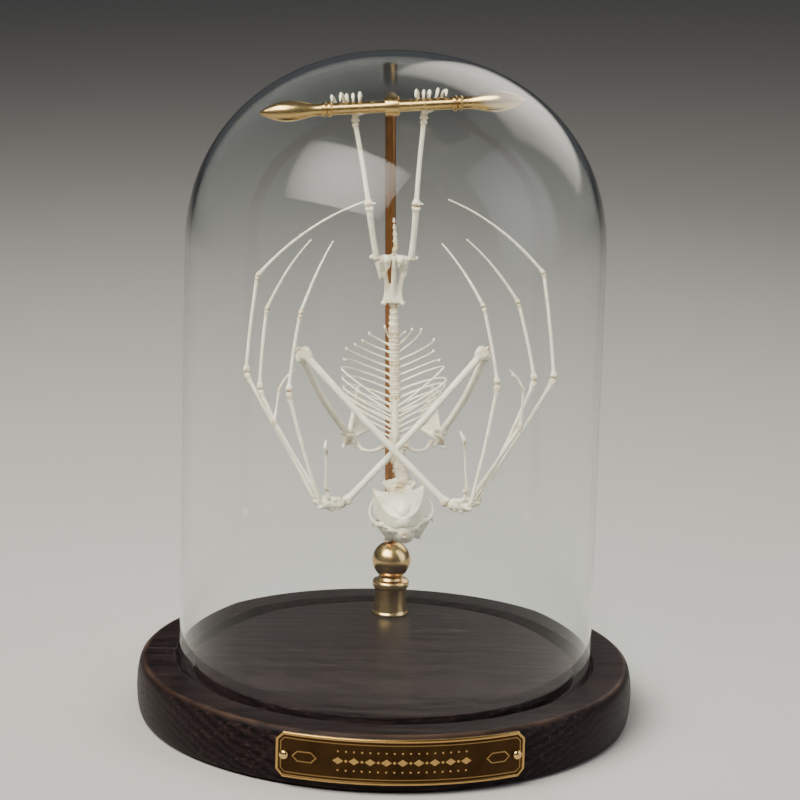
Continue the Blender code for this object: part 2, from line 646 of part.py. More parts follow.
def build_leg(side, leg, bone):
    hip, knee, ankle = leg["hip"], leg["knee"], leg["ankle"]
    ends = between(hip, knee, -0.6, 0.3)
    mesh_object(f"femur_{side}", limb_bone(*ends, 1.1, 1.5, 1.55), bone)
    ends = between(knee, ankle, 0.3, 0.3)
    mesh_object(f"tibia_{side}", limb_bone(*ends, 0.85, 1.5, 1.25), bone)
    heel = Vector(ankle) + Vector((0, 0.2, 0.4))
    shapes = [tube([heel, heel + Vector((0, 0.4, 1.6)), heel + Vector((0, 0.7, 3.0))], [1.0, 1.3, 1.1], 6)]
    shapes.append(tube([heel + Vector((0, 0.3, 1.4)), heel + Vector((2.9, 1.2, 1.9))], [0.8, 0.4], 5))
    for x in leg["toes"]:
        rise = bar_height(x)
        knuckle_x = x + 0.3 * (heel.x - x)
        path = (
            heel + Vector((0.12 * (x - heel.x), 0.6, 2.2)),
            (knuckle_x, 15.9, rise + 0.4),
            (x + 0.12 * (heel.x - x), 15.1, rise + 3.6),
            (x, 13.0, rise + 5.0),
            (x, 11.0, rise + 3.2),
        )
        shapes.append(tube(path, [0.6, 0.55, 0.6, 0.7, 0.3], 4))
    joined(f"foot_{side}", shapes, bone)


def build():
    clear_scene()
    wood = material("stained_wood", (0.045, 0.028, 0.03), 0.6)
    glass = material("clear_glass", (0.95, 0.97, 0.97), 0.02, 0.0, 0.25)
    gold = material("satin_brass", (0.78, 0.6, 0.33), 0.32, 1.0)
    antique = material("antique_brass", (0.4, 0.27, 0.12), 0.45, 1.0)
    bone = material("bleached_bone", (0.87, 0.83, 0.74), 0.55)
    build_base(wood)
    build_dome(glass)
    build_plaque(antique)
    build_nails(gold)
    build_pole_foot(gold)
    build_pole(gold)
    build_pole_arm(gold)
    build_bar(gold)
    build_spine(bone)
    build_sternum(bone)
    build_pelvis(bone)
    build_skull(bone)
    build_mandible(bone)
    for side in SIDE:
        build_rib_cage(side, bone)
        build_shoulder(side, WINGS[side], bone)
        build_arm(side, WINGS[side], bone)
        build_short_digits(side, WINGS[side], bone)
        for number in (3, 4, 5):
            build_digit(side, number, WINGS[side][f"digit{number}"], bone)
        build_leg(side, LEGS[side], bone)


build()
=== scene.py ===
"""A short-nosed fruit bat's skeleton hanging from a brass perch under a glass dome.

The sections follow the order in which the case is put together: the wooden base and its plaque, the brass
stand, the skeleton from its feet down to its skull, and last the glass. Sizes are in millimetres until a
mesh is finished, and then in metres. "left" and "right" are the bat's own.
"""

import math
from functools import partial

import bmesh
import bpy
import numpy as np
from mathutils import Matrix, Vector


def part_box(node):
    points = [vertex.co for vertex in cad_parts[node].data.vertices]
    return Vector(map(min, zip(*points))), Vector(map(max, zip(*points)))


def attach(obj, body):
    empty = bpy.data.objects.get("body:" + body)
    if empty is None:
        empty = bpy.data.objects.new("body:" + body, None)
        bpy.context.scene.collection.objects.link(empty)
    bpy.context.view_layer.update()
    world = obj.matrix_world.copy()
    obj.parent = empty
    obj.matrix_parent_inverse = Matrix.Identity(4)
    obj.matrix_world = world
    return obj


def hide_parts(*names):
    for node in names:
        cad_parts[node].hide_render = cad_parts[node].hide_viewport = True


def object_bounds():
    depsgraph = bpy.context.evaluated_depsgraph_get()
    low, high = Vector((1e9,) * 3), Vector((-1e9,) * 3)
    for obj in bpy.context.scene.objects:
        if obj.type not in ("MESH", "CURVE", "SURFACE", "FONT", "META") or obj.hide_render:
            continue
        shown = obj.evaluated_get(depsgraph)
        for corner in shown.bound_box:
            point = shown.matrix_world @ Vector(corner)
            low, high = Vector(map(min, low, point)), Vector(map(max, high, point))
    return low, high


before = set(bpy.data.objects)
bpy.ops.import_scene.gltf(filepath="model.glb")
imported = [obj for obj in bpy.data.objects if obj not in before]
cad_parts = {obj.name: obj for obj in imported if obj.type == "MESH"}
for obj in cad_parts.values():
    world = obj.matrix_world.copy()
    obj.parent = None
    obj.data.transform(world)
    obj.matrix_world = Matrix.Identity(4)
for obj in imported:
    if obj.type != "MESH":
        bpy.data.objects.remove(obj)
cad_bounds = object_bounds()

# ---- Base ---------------------------------------------------------------------------------------
# A turned hardwood disc with a bull-nosed rim, a flat underside and a groove that the glass stands in.
# It is stained near black over a purplish ground, with a painted brown highlight along its rim's top edge,
# and waxed, not varnished.

MM = 0.001


def linear(hex_colour):
    """An sRGB hex colour as the linear RGBA that a shader socket takes."""
    channels = [int(hex_colour[i : i + 2], 16) / 255 for i in (1, 3, 5)]
    return (*[c / 12.92 if c <= 0.04045 else ((c + 0.055) / 1.055) ** 2.4 for c in channels], 1.0)


def add(tree, kind, inputs=None, **settings):
    """Adds a node and returns its outputs. An input is a value, a hex colour or the output that feeds it."""
    made = tree.nodes.new(kind)
    for name, value in settings.items():
        setattr(made, name, value)
    for socket, value in (inputs or {}).items():
        if isinstance(value, bpy.types.NodeSocket):
            tree.links.new(value, made.inputs[socket])
        else:
            made.inputs[socket].default_value = linear(value) if isinstance(value, str) else value
    return made.outputs


def blank_material(name):
    """A new material, what adds a node to it, and its Object coordinates."""
    made = bpy.data.materials.new(name)
    made.use_nodes = True
    made.node_tree.nodes.clear()
    node = partial(add, made.node_tree)
    return made, node, node("ShaderNodeTexCoord")["Object"]


def link_object(name, data):
    """A new object in the scene."""
    made = bpy.data.objects.new(name, data)
    bpy.context.scene.collection.objects.link(made)
    return made


def show(name, mesh, material, slot, *nodes):
    """Puts a finished mesh in place of its CAD nodes, with its material."""
    mesh.name = name
    mesh.materials.clear()
    mesh.materials.append(material)
    piece = link_object(name, mesh)
    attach(piece, "root")
    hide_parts(*nodes)


def box_of(node):
    """A CAD node's lowest and highest corners in millimetres."""
    low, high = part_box(node)
    return low / MM, high / MM


def to_mesh(bm, sharp=180):
    """A smooth-shaded mesh in metres from a bmesh in millimetres; edges over the sharp angle stay crisp."""
    bmesh.ops.recalc_face_normals(bm, faces=bm.faces)
    bmesh.ops.scale(bm, vec=(MM, MM, MM), verts=bm.verts)
    mesh = bpy.data.meshes.new("piece")
    bm.to_mesh(mesh)
    bm.free()
    mesh.shade_smooth()
    if sharp < 180:
        mesh.set_sharp_from_angle(angle=math.radians(sharp))
    return mesh


def rounded(corners, steps=6):
    """A profile whose (radius, height, fillet) corners are each turned into an arc."""
    found = []
    for i, (x, y, fillet) in enumerate(corners):
        here = Vector((x, y))
        if fillet == 0 or i in (0, len(corners) - 1):
            found.append(tuple(here))
            continue
        to_last = (Vector(corners[i - 1][:2]) - here).normalized()
        to_next = (Vector(corners[i + 1][:2]) - here).normalized()
        start, end = here + to_last * fillet, here + to_next * fillet
        for k in range(steps + 1):
            t = k / steps
            found.append(tuple(start.lerp(here, t).lerp(here.lerp(end, t), t)))
    return found


def turned(profile, sides=128, place=None):
    """A closed solid of revolution about Z from (radius, height) points; radius 0 makes a pole."""
    bm = bmesh.new()
    rings = []
    for radius, height in profile:
        angles = [2 * math.pi * i / sides for i in range(sides if radius > 0 else 1)]
        rings.append([bm.verts.new((radius * math.cos(a), radius * math.sin(a), height)) for a in angles])
    for low, high in zip(rings, rings[1:]):
        for i in range(sides):
            j = (i + 1) % sides
            corners = [low[i % len(low)], low[j % len(low)], high[j % len(high)], high[i % len(high)]]
            bm.faces.new(list(dict.fromkeys(corners)))
    if place:
        bm.transform(place)
    return bm


base_radius, base_height = box_of("base")[1].xz
groove_inner, groove_outer, groove_depth = 68.0, 76.2, 4.0
rim_swell = 2.0  # how far the bull nose stands out from the rim's top edge

rim = []
for k in range(-10, 11):
    share = k / 10.6
    swell = rim_swell * math.sqrt(1 - share**2)
    rim.append((base_radius - rim_swell + swell, base_height * (0.5 + 0.47 * share), 0))
base_profile = rounded(
    [
        (0, 0, 0),
        (base_radius - 4.0, 0, 0.4),
        (base_radius - 3.2, 0.6, 0.2),
        *rim,
        (base_radius - rim_swell - 0.6, base_height, 0.5),
        (groove_outer, base_height, 0.5),
        (groove_outer, base_height - groove_depth, 0.6),
        (groove_inner, base_height - groove_depth, 0.6),
        (groove_inner, base_height, 0.5),
        (0, base_height, 0),
    ]
)

# Dark-stained wood: rings about 3 mm apart round a heart that lies below the disc and runs along X, so
# the top shows long streaks and the ends of the rim show arcs. The pores are 0.3 mm wide.
wood, node, place = blank_material("black_stained_walnut")
heart = node("ShaderNodeMapping", {"Vector": place, "Location": (0.0, 0.03, 0.06)})[0]
rings = node(
    "ShaderNodeTexWave",
    {"Vector": heart, "Scale": 105.0, "Distortion": 5.0, "Detail": 3.0, "Detail Scale": 0.9},
    wave_type="RINGS",
    rings_direction="X",
)["Fac"]
grain_place = node("ShaderNodeMapping", {"Vector": place, "Scale": (28.0, 900.0, 900.0)})[0]
streaks = node("ShaderNodeTexNoise", {"Vector": grain_place, "Scale": 1.0, "Detail": 5.0})["Fac"]
pore_place = node("ShaderNodeMapping", {"Vector": place, "Scale": (160.0, 3300.0, 3300.0)})[0]
pores = node("ShaderNodeTexNoise", {"Vector": pore_place, "Scale": 1.0, "Detail": 2.0})["Fac"]
blotches = node("ShaderNodeTexNoise", {"Vector": place, "Scale": 45.0, "Detail": 4.0})["Fac"]
ground = node("ShaderNodeMix", {0: rings, 6: "#1E1617", 7: "#0E0A0B"}, data_type="RGBA")[2]
streak_share = node("ShaderNodeMapRange", {0: streaks, 1: 0.52, 2: 0.78, 3: 0.0, 4: 0.75})[0]
streaked = node("ShaderNodeMix", {0: streak_share, 6: ground, 7: "#3E2F2D"}, data_type="RGBA")[2]
# The rim's top edge carries a painted highlight: a paler brown ring, broken into patches.
parts = node("ShaderNodeSeparateXYZ", {"Vector": place})
flat_place = node("ShaderNodeCombineXYZ", {"X": parts["X"], "Y": parts["Y"]})[0]
from_axis = node("ShaderNodeVectorMath", {0: flat_place}, operation="LENGTH")["Value"]
edge_radius = (base_radius - rim_swell - 0.4) * MM
off_edge = node("ShaderNodeMath", {0: from_axis, 1: edge_radius}, operation="SUBTRACT")[0]
off_edge = node("ShaderNodeMath", {0: off_edge}, operation="ABSOLUTE")[0]
near_edge = node("ShaderNodeMapRange", {0: off_edge, 1: 0.0, 2: 1.3 * MM, 3: 1.0, 4: 0.0})[0]
edge_low, edge_high = (base_height - 2.5) * MM, (base_height - 0.5) * MM
high_up = node("ShaderNodeMapRange", {0: parts["Z"], 1: edge_low, 2: edge_high, 3: 0.0, 4: 1.0})[0]
painted_rim_highlight = node("ShaderNodeMath", {0: near_edge, 1: high_up}, operation="MULTIPLY")[0]
patchy = node("ShaderNodeMapRange", {0: blotches, 1: 0.35, 2: 0.65, 3: 0.1, 4: 0.9})[0]
painted_rim_highlight = node("ShaderNodeMath", {0: painted_rim_highlight, 1: patchy}, operation="MULTIPLY")[0]
wood_colour = node("ShaderNodeMix", {0: painted_rim_highlight, 6: streaked, 7: "#4C3A30"}, data_type="RGBA")[2]
wood_rough = node("ShaderNodeMapRange", {0: streaks, 1: 0.3, 2: 0.7, 3: 0.34, 4: 0.52})[0]
relief = node("ShaderNodeMath", {0: streaks, 1: pores}, operation="ADD")[0]
wood_bump = node("ShaderNodeBump", {"Strength": 0.6, "Distance": 0.00008, "Height": relief})[0]
wood_shader = node(
    "ShaderNodeBsdfPrincipled",
    {"Base Color": wood_colour, "Roughness": wood_rough, "Specular IOR Level": 0.07, "Normal": wood_bump},
)[0]
node("ShaderNodeOutputMaterial", {"Surface": wood_shader})

show("turned_base", to_mesh(turned(base_profile, 160), 40), wood, "stained_wood", "base")

# ---- Plaque -------------------------------------------------------------------------------------
# A thin pressed brass plate bent round the front of the base, its corners cut off. It has a raised
# border and a raised pattern on a field that is chemically darkened, so only what stands up is bright.

plaque_bottom, plaque_top = (corner.z for corner in box_of("plaque"))
plaque_turn = 4.6  # degrees that its middle is turned towards +X
plaque_reach = 28.0  # degrees from its middle to each end
plaque_inner = base_radius + 0.3
plaque_wall = 1.15
plaque_face = plaque_inner + plaque_wall
plaque_chamfer = 2.6
plaque_half = math.radians(plaque_reach) * plaque_inner
plaque_tall = 0.5 * (plaque_top - plaque_bottom)
plaque_middle = 0.5 * (plaque_top + plaque_bottom)
raised_height = 0.28


def round_base(along, radius, height):
    """A point at a distance round the base from the plaque's middle."""
    angle = along / plaque_inner + math.radians(plaque_turn)
    return (radius * math.sin(angle), -radius * math.cos(angle), height)


def inside_outline(x, z, half_x, half_z, cut):
    """How far a point is inside a rectangle whose corners are cut off."""
    corner = (half_x + half_z - cut - abs(x) - abs(z)) / math.sqrt(2)
    return min(half_x - abs(x), half_z - abs(z), corner)


def ridge(distance, width):
    """A rounded ridge of height 1 where the distance is 0."""
    return max(0.0, 1 - (distance / width) ** 2) ** 0.5 if abs(distance) < width else 0.0


def plaque_relief(x, z, inside):
    """Height of the raised work, from 0 on the field to 1: a border, an inner line and two lozenge frames."""
    border = 1.0 if inside < 0.9 else max(0.0, 1 - (inside - 0.9) / 0.3)
    line = 0.7 * ridge(inside - 2.0, 0.3)
    lozenge = inside_outline(abs(x) - (plaque_half - 10.5), z, 4.2, 1.7, 1.7)
    return max(border, line, 0.8 * ridge(lozenge, 0.32))


across_steps, up_steps = 340, 60
bm = bmesh.new()
stands_up = bm.verts.layers.float.new("raised")
front, back = [], []
for i in range(across_steps + 1):
    x = plaque_half * (2 * i / across_steps - 1)
    trim = max(0.0, plaque_chamfer - (plaque_half - abs(x)))
    front.append([])
    back.append([])
    for k in range(up_steps + 1):
        z = (plaque_tall - trim) * (2 * k / up_steps - 1)
        inside = inside_outline(x, z, plaque_half, plaque_tall, plaque_chamfer)
        raised = plaque_relief(x, z, inside)
        soft = 0.25 * max(0.0, 1 - inside / 0.3) ** 2  # the plate's edges are eased
        face = round_base(x, plaque_face + raised_height * raised - soft, plaque_middle + z)
        front[-1].append(bm.verts.new(face))
        front[-1][-1][stands_up] = raised
        back[-1].append(bm.verts.new(round_base(x, plaque_inner, plaque_middle + z)))
for grid in (front, back):
    for first, second in zip(grid, grid[1:]):
        for k in range(up_steps):
            bm.faces.new((first[k], second[k], second[k + 1], first[k + 1]))
for i in range(across_steps):
    for k in (0, up_steps):
        bm.faces.new((front[i][k], back[i][k], back[i + 1][k], front[i + 1][k]))
for i in (0, across_steps):
    for k in range(up_steps):
        bm.faces.new((front[i][k], front[i][k + 1], back[i][k + 1], back[i][k]))

# Antiqued brass: the raised work is rubbed back to bright metal, the field keeps its brown patina.
antique, node, place = blank_material("antiqued_brass")
raised_share = node("ShaderNodeAttribute", attribute_name="raised")["Fac"]
smudges = node("ShaderNodeTexNoise", {"Vector": place, "Scale": 160.0, "Detail": 6.0})["Fac"]
field = node("ShaderNodeMix", {0: smudges, 6: "#2A1D11", 7: "#4C371F"}, data_type="RGBA")[2]
rubbed = node("ShaderNodeMapRange", {0: raised_share, 1: 0.3, 2: 0.85, 3: 0.0, 4: 1.0})[0]
antique_colour = node("ShaderNodeMix", {0: rubbed, 6: field, 7: "#B8945A"}, data_type="RGBA")[2]
antique_rough = node("ShaderNodeMapRange", {0: rubbed, 1: 0.0, 2: 1.0, 3: 0.46, 4: 0.24})[0]
antique_bump = node("ShaderNodeBump", {"Strength": 0.25, "Distance": 0.00005, "Height": smudges})[0]
antique_shader = node(
    "ShaderNodeBsdfPrincipled",
    {"Base Color": antique_colour, "Metallic": 1.0, "Roughness": antique_rough, "Normal": antique_bump},
)[0]
node("ShaderNodeOutputMaterial", {"Surface": antique_shader})

show("pressed_plaque", to_mesh(bm, 50), antique, "antique_brass", "plaque")

# A chain of lozenges and beads fills the middle of the plaque, pressed from behind like the border.
# One bead and one lozenge are repeated along arcs that follow the plate.


def grower(name, inputs):
    """A geometry node group with named inputs of a (kind, value) each, what adds a node, and its inputs."""
    group = bpy.data.node_groups.new(name, "GeometryNodeTree")
    for way in ("INPUT", "OUTPUT"):
        group.interface.new_socket("Geometry", in_out=way, socket_type="NodeSocketGeometry")
    for label, (kind, value) in inputs.items():
        socket = group.interface.new_socket(label, in_out="INPUT", socket_type=f"NodeSocket{kind}")
        if value is not None:
            socket.default_value = value
    node = partial(add, group)
    return group, node, node("NodeGroupInput")


def grow_out(node, geometry, material):
    """Ends a node group: instances are made real and everything takes one material."""
    real = node("GeometryNodeRealizeInstances", {"Geometry": geometry})[0]
    covered = node("GeometryNodeSetMaterial", {"Geometry": real, "Material": material})[0]
    node("NodeGroupOutput", {"Geometry": covered})


def row_group(name, **facing):
    """A node group that repeats a shape along a curve, turned to follow it and sized from first to last."""
    sizes = {"Count": ("Int", 5), "First Size": ("Float", 1.0), "Last Size": ("Float", 1.0)}
    group, node, given = grower(name, {**sizes, "Shape": ("Object", None), "Material": ("Material", None)})
    spots = node("GeometryNodeCurveToPoints", {"Curve": given["Geometry"], "Count": given["Count"]})
    shape = node("GeometryNodeObjectInfo", {"Object": given["Shape"]})["Geometry"]
    index = node("GeometryNodeInputIndex")[0]
    last = node("ShaderNodeMath", {0: given["Count"], 1: 1.0}, operation="SUBTRACT")[0]
    size = node(
        "ShaderNodeMapRange", {0: index, 1: 0.0, 2: last, 3: given["First Size"], 4: given["Last Size"]}
    )[0]
    turn = node("FunctionNodeAlignRotationToVector", {"Vector": spots["Tangent"]}, **facing)[0]
    row = node(
        "GeometryNodeInstanceOnPoints",
        {"Points": spots["Points"], "Instance": shape, "Rotation": turn, "Scale": size},
    )[0]
    grow_out(node, row, given["Material"])
    return group


def grown(guide, group, values):
    """Runs a node group on a guide object and returns the result as a plain mesh. The guide is removed."""
    modifier = guide.modifiers.new("grow", "NODES")
    modifier.node_group = group
    for item in group.interface.items_tree:
        if item.name in values:
            modifier[item.identifier] = values[item.name]
    graph = bpy.context.evaluated_depsgraph_get()
    mesh = bpy.data.meshes.new_from_object(guide.evaluated_get(graph))
    guide.modifiers.clear()
    bpy.data.objects.remove(guide, do_unlink=True)
    return mesh


def guide_curve(lines, radii=None):
    """An object of poly lines in metres from points in millimetres; radii are carried as curve radius."""
    curve = bpy.data.curves.new("guide", "CURVE")
    curve.dimensions = "3D"
    for index, line in enumerate(lines):
        spline = curve.splines.new("POLY")
        spline.points.add(len(line) - 1)
        for k, point in enumerate(line):
            spline.points[k].co = (*(Vector(point) * MM), 1.0)
            spline.points[k].radius = radii[index][k] if radii else 1.0
    return link_object("guide", curve)


def pressed_stud(half_long, half_tall, sides):
    """A low faceted stud lying in the XZ plane, its face towards -Y."""
    profile = [(0.0, 0.25), (1.0, 0.25), (1.0, 0.0), (0.62, -0.72), (0.0, -1.0)]
    squash = Matrix.Diagonal((half_long, 0.34, half_tall, 1.0))
    lie = Matrix.Rotation(math.radians(-90), 4, "X")
    flip = Matrix.Diagonal((1, 1, -1, 1))
    return link_object("stud", to_mesh(turned(profile, sides, squash @ lie @ flip), 30))


def plaque_line(reach, height, steps=60):
    """An arc on the plaque's field, reaching so far either side of its middle."""
    return [round_base(reach * (2 * i / steps - 1), plaque_face, height) for i in range(steps + 1)]


beads = row_group("bead_chain", axis="X", pivot_axis="Z")
for name, half_long, half_tall, sides, count, reach, rise in (
    ("plaque_lozenges", 1.9, 1.25, 4, 9, 22.0, 0.0),
    ("plaque_beads", 0.5, 0.5, 12, 8, 19.25, 0.0),
    ("plaque_upper_beads", 0.36, 0.36, 10, 17, 22.0, 3.4),
    ("plaque_lower_beads", 0.36, 0.36, 10, 17, 22.0, -3.4),
):
    stud = pressed_stud(half_long, half_tall, sides)
    arc = guide_curve([plaque_line(reach, plaque_middle + rise)])
    mesh = grown(arc, beads, {"Count": count, "Shape": stud, "Material": antique})
    bpy.data.objects.remove(stud, do_unlink=True)
    bright = mesh.attributes.new("raised", "FLOAT", "POINT")
    bright.data.foreach_set("value", [1.0] * len(mesh.vertices))
    show(name, mesh, antique, "antique_brass", "plaque")

# ---- Nails --------------------------------------------------------------------------------------
# Two round-headed brass escutcheon pins, driven into the rim, hold the plaque's ends. Only their
# turned heads show.


def satin_brass(name, marks_scale):
    """Lacquered brass from the lathe: gold, slightly uneven, with turning marks about 0.4 mm apart."""
    made, node, place = blank_material(name)
    tone = node("ShaderNodeTexNoise", {"Vector": place, "Scale": 70.0, "Detail": 4.0})["Fac"]
    colour = node("ShaderNodeMix", {0: tone, 6: "#B98F4F", 7: "#E8CB8E"}, data_type="RGBA")[2]
    marks_place = node("ShaderNodeMapping", {"Vector": place, "Scale": marks_scale})[0]
    marks = node("ShaderNodeTexNoise", {"Vector": marks_place, "Scale": 1.0, "Detail": 2.0})["Fac"]
    rough = node("ShaderNodeMapRange", {0: marks, 1: 0.3, 2: 0.7, 3: 0.16, 4: 0.27})[0]
    bump = node("ShaderNodeBump", {"Strength": 0.12, "Distance": 0.00002, "Height": marks})[0]
    shader = node(
        "ShaderNodeBsdfPrincipled",
        {"Base Color": colour, "Metallic": 1.0, "Roughness": rough, "Normal": bump},
    )[0]
    node("ShaderNodeOutputMaterial", {"Surface": shader})
    return made


upright_brass = satin_brass("satin_brass_turned_upright", (0.0, 0.0, 2500.0))
nail_radius, nail_rim, nail_dome = 1.75, 0.35, 1.15
nail_profile = [(0.0, 0.0), (nail_radius, 0.0), (nail_radius, nail_rim)]
for angle in np.radians(range(10, 90, 10)):
    nail_profile.append((nail_radius * math.cos(angle), nail_rim + nail_dome * math.sin(angle)))
nail_profile.append((0.0, nail_rim + nail_dome))
for side_name in ("left", "right"):
    low, high = box_of(f"nail_{side_name}")
    centre = (low + high) / 2
    outward = Vector((centre.x, centre.y, 0)).normalized()
    seat = outward * (plaque_face + 0.15) + Vector((0, 0, centre.z))
    stand = Matrix.Translation(seat) @ outward.to_track_quat("Z", "Y").to_matrix().to_4x4()
    head = to_mesh(turned(nail_profile, 32, stand), 50)
    show(f"round_nail_{side_name}", head, upright_brass, "satin_brass", f"nail_{side_name}")

# ---- Pole foot ----------------------------------------------------------------------------------
# A lathe-turned brass foot, screwed to the base from below: a flared shank, a polished collar and a
# ball on top that the pole is pushed into.

foot_low, foot_high = box_of("pole_foot")
foot_at = Vector((*((foot_low + foot_high) / 2).xy, foot_low.z))
ball_middle, ball_radius = 20.9, 7.3
foot_profile = rounded(
    [
        (0, 0, 0),
        (7.0, 0, 0.2),
        (7.0, 0.8, 0.3),
        (6.5, 1.5, 0.4),
        (6.05, 6.0, 2.0),
        (6.15, 10.2, 0.3),
        (6.6, 10.5, 0.15),
        (7.0, 10.9, 0.4),
        (7.0, 12.6, 0.4),
        (6.5, 13.2, 0.2),
        (5.2, 13.6, 0.3),
        (4.6, 14.4, 0),
    ]
)
for degrees in range(-60, 70, 4):
    angle = math.radians(degrees)
    foot_profile.append((ball_radius * math.cos(angle), ball_middle + ball_radius * math.sin(angle)))
foot_profile.append((0.0, foot_profile[-1][1] + 0.05))
foot_mesh = to_mesh(turned(foot_profile, 96, Matrix.Translation(foot_at)), 40)
show("turned_foot", foot_mesh, upright_brass, "satin_brass", "pole_foot")

# ---- Pole ---------------------------------------------------------------------------------------
# A drawn brass rod pushed into the foot's ball. Its colour is painted redder and darker than the turned
# pieces, as a painted warm reflection and painted shade. It leans slightly.


def line_of(node):
    """The middles of a rod-like CAD node's rings, from its lower end to its upper one, in millimetres."""
    points = np.array([vertex.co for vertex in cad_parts[node].data.vertices]) / MM
    centre = points.mean(0)
    axis = np.linalg.svd(points - centre, full_matrices=False)[2][0]
    axis = axis if axis[2] > 0 else -axis
    along = (points - centre) @ axis
    order = np.argsort(along)
    breaks = np.where(np.diff(along[order]) > 0.5)[0] + 1
    return [Vector(points[group].mean(0)) for group in np.split(order, breaks)]


def ends_of(node):
    """The lower and the upper end of a rod-like CAD node."""
    line = line_of(node)
    return line[0], line[-1]


def towards(start, end):
    """The turn and shift that stand a shape made along Z on the line from start to end."""
    return Matrix.Translation(start) @ (end - start).to_track_quat("Z", "Y").to_matrix().to_4x4()


warm_lit_brass, node, place = blank_material("drawn_brass_warm_reflection")
tone = node("ShaderNodeTexNoise", {"Vector": place, "Scale": 60.0, "Detail": 5.0})["Fac"]
# Painted warm reflection and shade: the rod's colour is redder and darker than the turned brass.
painted_warm_reflection = node("ShaderNodeMix", {0: tone, 6: "#8A5C38", 7: "#B98250"}, data_type="RGBA")[2]
draw_place = node("ShaderNodeMapping", {"Vector": place, "Scale": (4500.0, 4500.0, 30.0)})[0]
draw_lines = node("ShaderNodeTexNoise", {"Vector": draw_place, "Scale": 1.0, "Detail": 1.0})["Fac"]
warm_lit_rough = node("ShaderNodeMapRange", {0: draw_lines, 1: 0.3, 2: 0.7, 3: 0.24, 4: 0.28})[0]
warm_lit_shader = node(
    "ShaderNodeBsdfPrincipled", {"Base Color": painted_warm_reflection, "Metallic": 1.0, "Roughness": warm_lit_rough}
)[0]
node("ShaderNodeOutputMaterial", {"Surface": warm_lit_shader})

pole_radius = 2.0
pole_start, pole_end = ends_of("pole")
pole_long = (pole_end - pole_start).length
pole_profile = rounded(
    [(0, -0.2, 0), (pole_radius, -0.2, 0.1), (pole_radius, pole_long, 0.2), (0, pole_long, 0)]
)
pole_mesh = to_mesh(turned(pole_profile, 40, towards(pole_start, pole_end)), 40)
show("drawn_pole", pole_mesh, warm_lit_brass, "satin_brass", "pole")

# ---- Perch --------------------------------------------------------------------------------------
# The arm runs forward from the pole's top to a collar, and the turned perch is pushed through the
# collar. The perch has a plain middle with fine scribed lines, a double ring and a pointed bulb each end.

level_brass = satin_brass("satin_brass_turned_level", (2500.0, 0.0, 0.0))
bar_low, bar_high = box_of("bar")
bar_at = (bar_low + bar_high) / 2
bar_tilt = math.radians(4.4)
bar_half = 0.5 * (bar_high.x - bar_low.x) / math.cos(bar_tilt)
bar_way = Vector((math.cos(bar_tilt), 0, math.sin(bar_tilt)))
bar_radius, scribed_radius = 2.15, 2.02
half_profile = rounded(
    [
        (bar_radius, 0.0, 0),
        (bar_radius, 21.5, 0.2),
        (2.85, 21.7, 0.3),
        (2.85, 22.9, 0.3),
        (2.05, 23.2, 0.1),
        (2.05, 23.5, 0.1),
        (2.7, 23.7, 0.3),
        (2.7, 24.7, 0.3),
        (bar_radius, 25.1, 0.2),
        (2.3, 28.6, 1.5),
        (3.75, 34.6, 3.2),
        (3.85, 40.2, 3.4),
        (1.35, 46.2, 1.4),
        (0.3, bar_half - 0.1, 0.2),
        (0.0, bar_half, 0),
    ],
    8,
)
scribed = []
for at in (6.9, 11.6):
    scribed += [(bar_radius, at - 0.3), (scribed_radius, at - 0.12)]
    scribed += [(scribed_radius, at + 0.12), (bar_radius, at + 0.3)]
half_profile = scribed + half_profile[1:]
bar_profile = [(radius, -along) for radius, along in reversed(half_profile)] + half_profile
bar_mesh = to_mesh(turned(bar_profile, 72, towards(bar_at, bar_at + bar_way)), 35)
show("turned_perch", bar_mesh, level_brass, "satin_brass", "bar")


def moved(point, x, y, z):
    """A point, moved."""
    return Vector(point) + Vector((x, y, z))


def joined(first, second):
    """One mesh from two that overlap, by an exact Boolean."""
    holders = [link_object("holder", mesh) for mesh in (first, second)]
    modifier = holders[0].modifiers.new("join", "BOOLEAN")
    modifier.operation = "UNION"
    modifier.object = holders[1]
    graph = bpy.context.evaluated_depsgraph_get()
    mesh = bpy.data.meshes.new_from_object(holders[0].evaluated_get(graph))
    for holder in holders:
        bpy.data.objects.remove(holder, do_unlink=True)
    return mesh


arm_radius = 2.45
arm_back = moved(pole_end, 0, 0, 2.9)
arm_start = arm_back - (bar_at - arm_back).normalized() * 1.8
arm_long = (bar_at - arm_start).length - 2.6
arm_profile = rounded([(0, 0, 0), (arm_radius, 0, 0.9), (arm_radius, arm_long, 0.3), (0, arm_long, 0)])
collar_half, collar_radius, bar_hole = 2.5, 3.5, 2.4
collar_profile = rounded(
    [
        (bar_hole, -collar_half, 0),
        (collar_radius, -collar_half, 0.4),
        (collar_radius, collar_half, 0.4),
        (bar_hole, collar_half, 0),
    ]
)
collar = turned([*collar_profile, collar_profile[0]], 64, towards(bar_at, bar_at + bar_way))
bmesh.ops.remove_doubles(collar, verts=collar.verts, dist=0.0001)
arm_tube = turned(arm_profile, 48, towards(arm_start, bar_at))
arm_mesh = joined(to_mesh(arm_tube), to_mesh(collar))
arm_mesh.shade_smooth()
arm_mesh.set_sharp_from_angle(angle=math.radians(35))
show("perch_arm", arm_mesh, level_brass, "satin_brass", "pole_arm")

# ---- Bone ---------------------------------------------------------------------------------------
# Degreased and bleached bone: ivory white with a dull, faintly waxy surface, fine pores, and yellower
# gristle and glue at the joints. The joint colour follows a stain value that each bone's mesh carries.

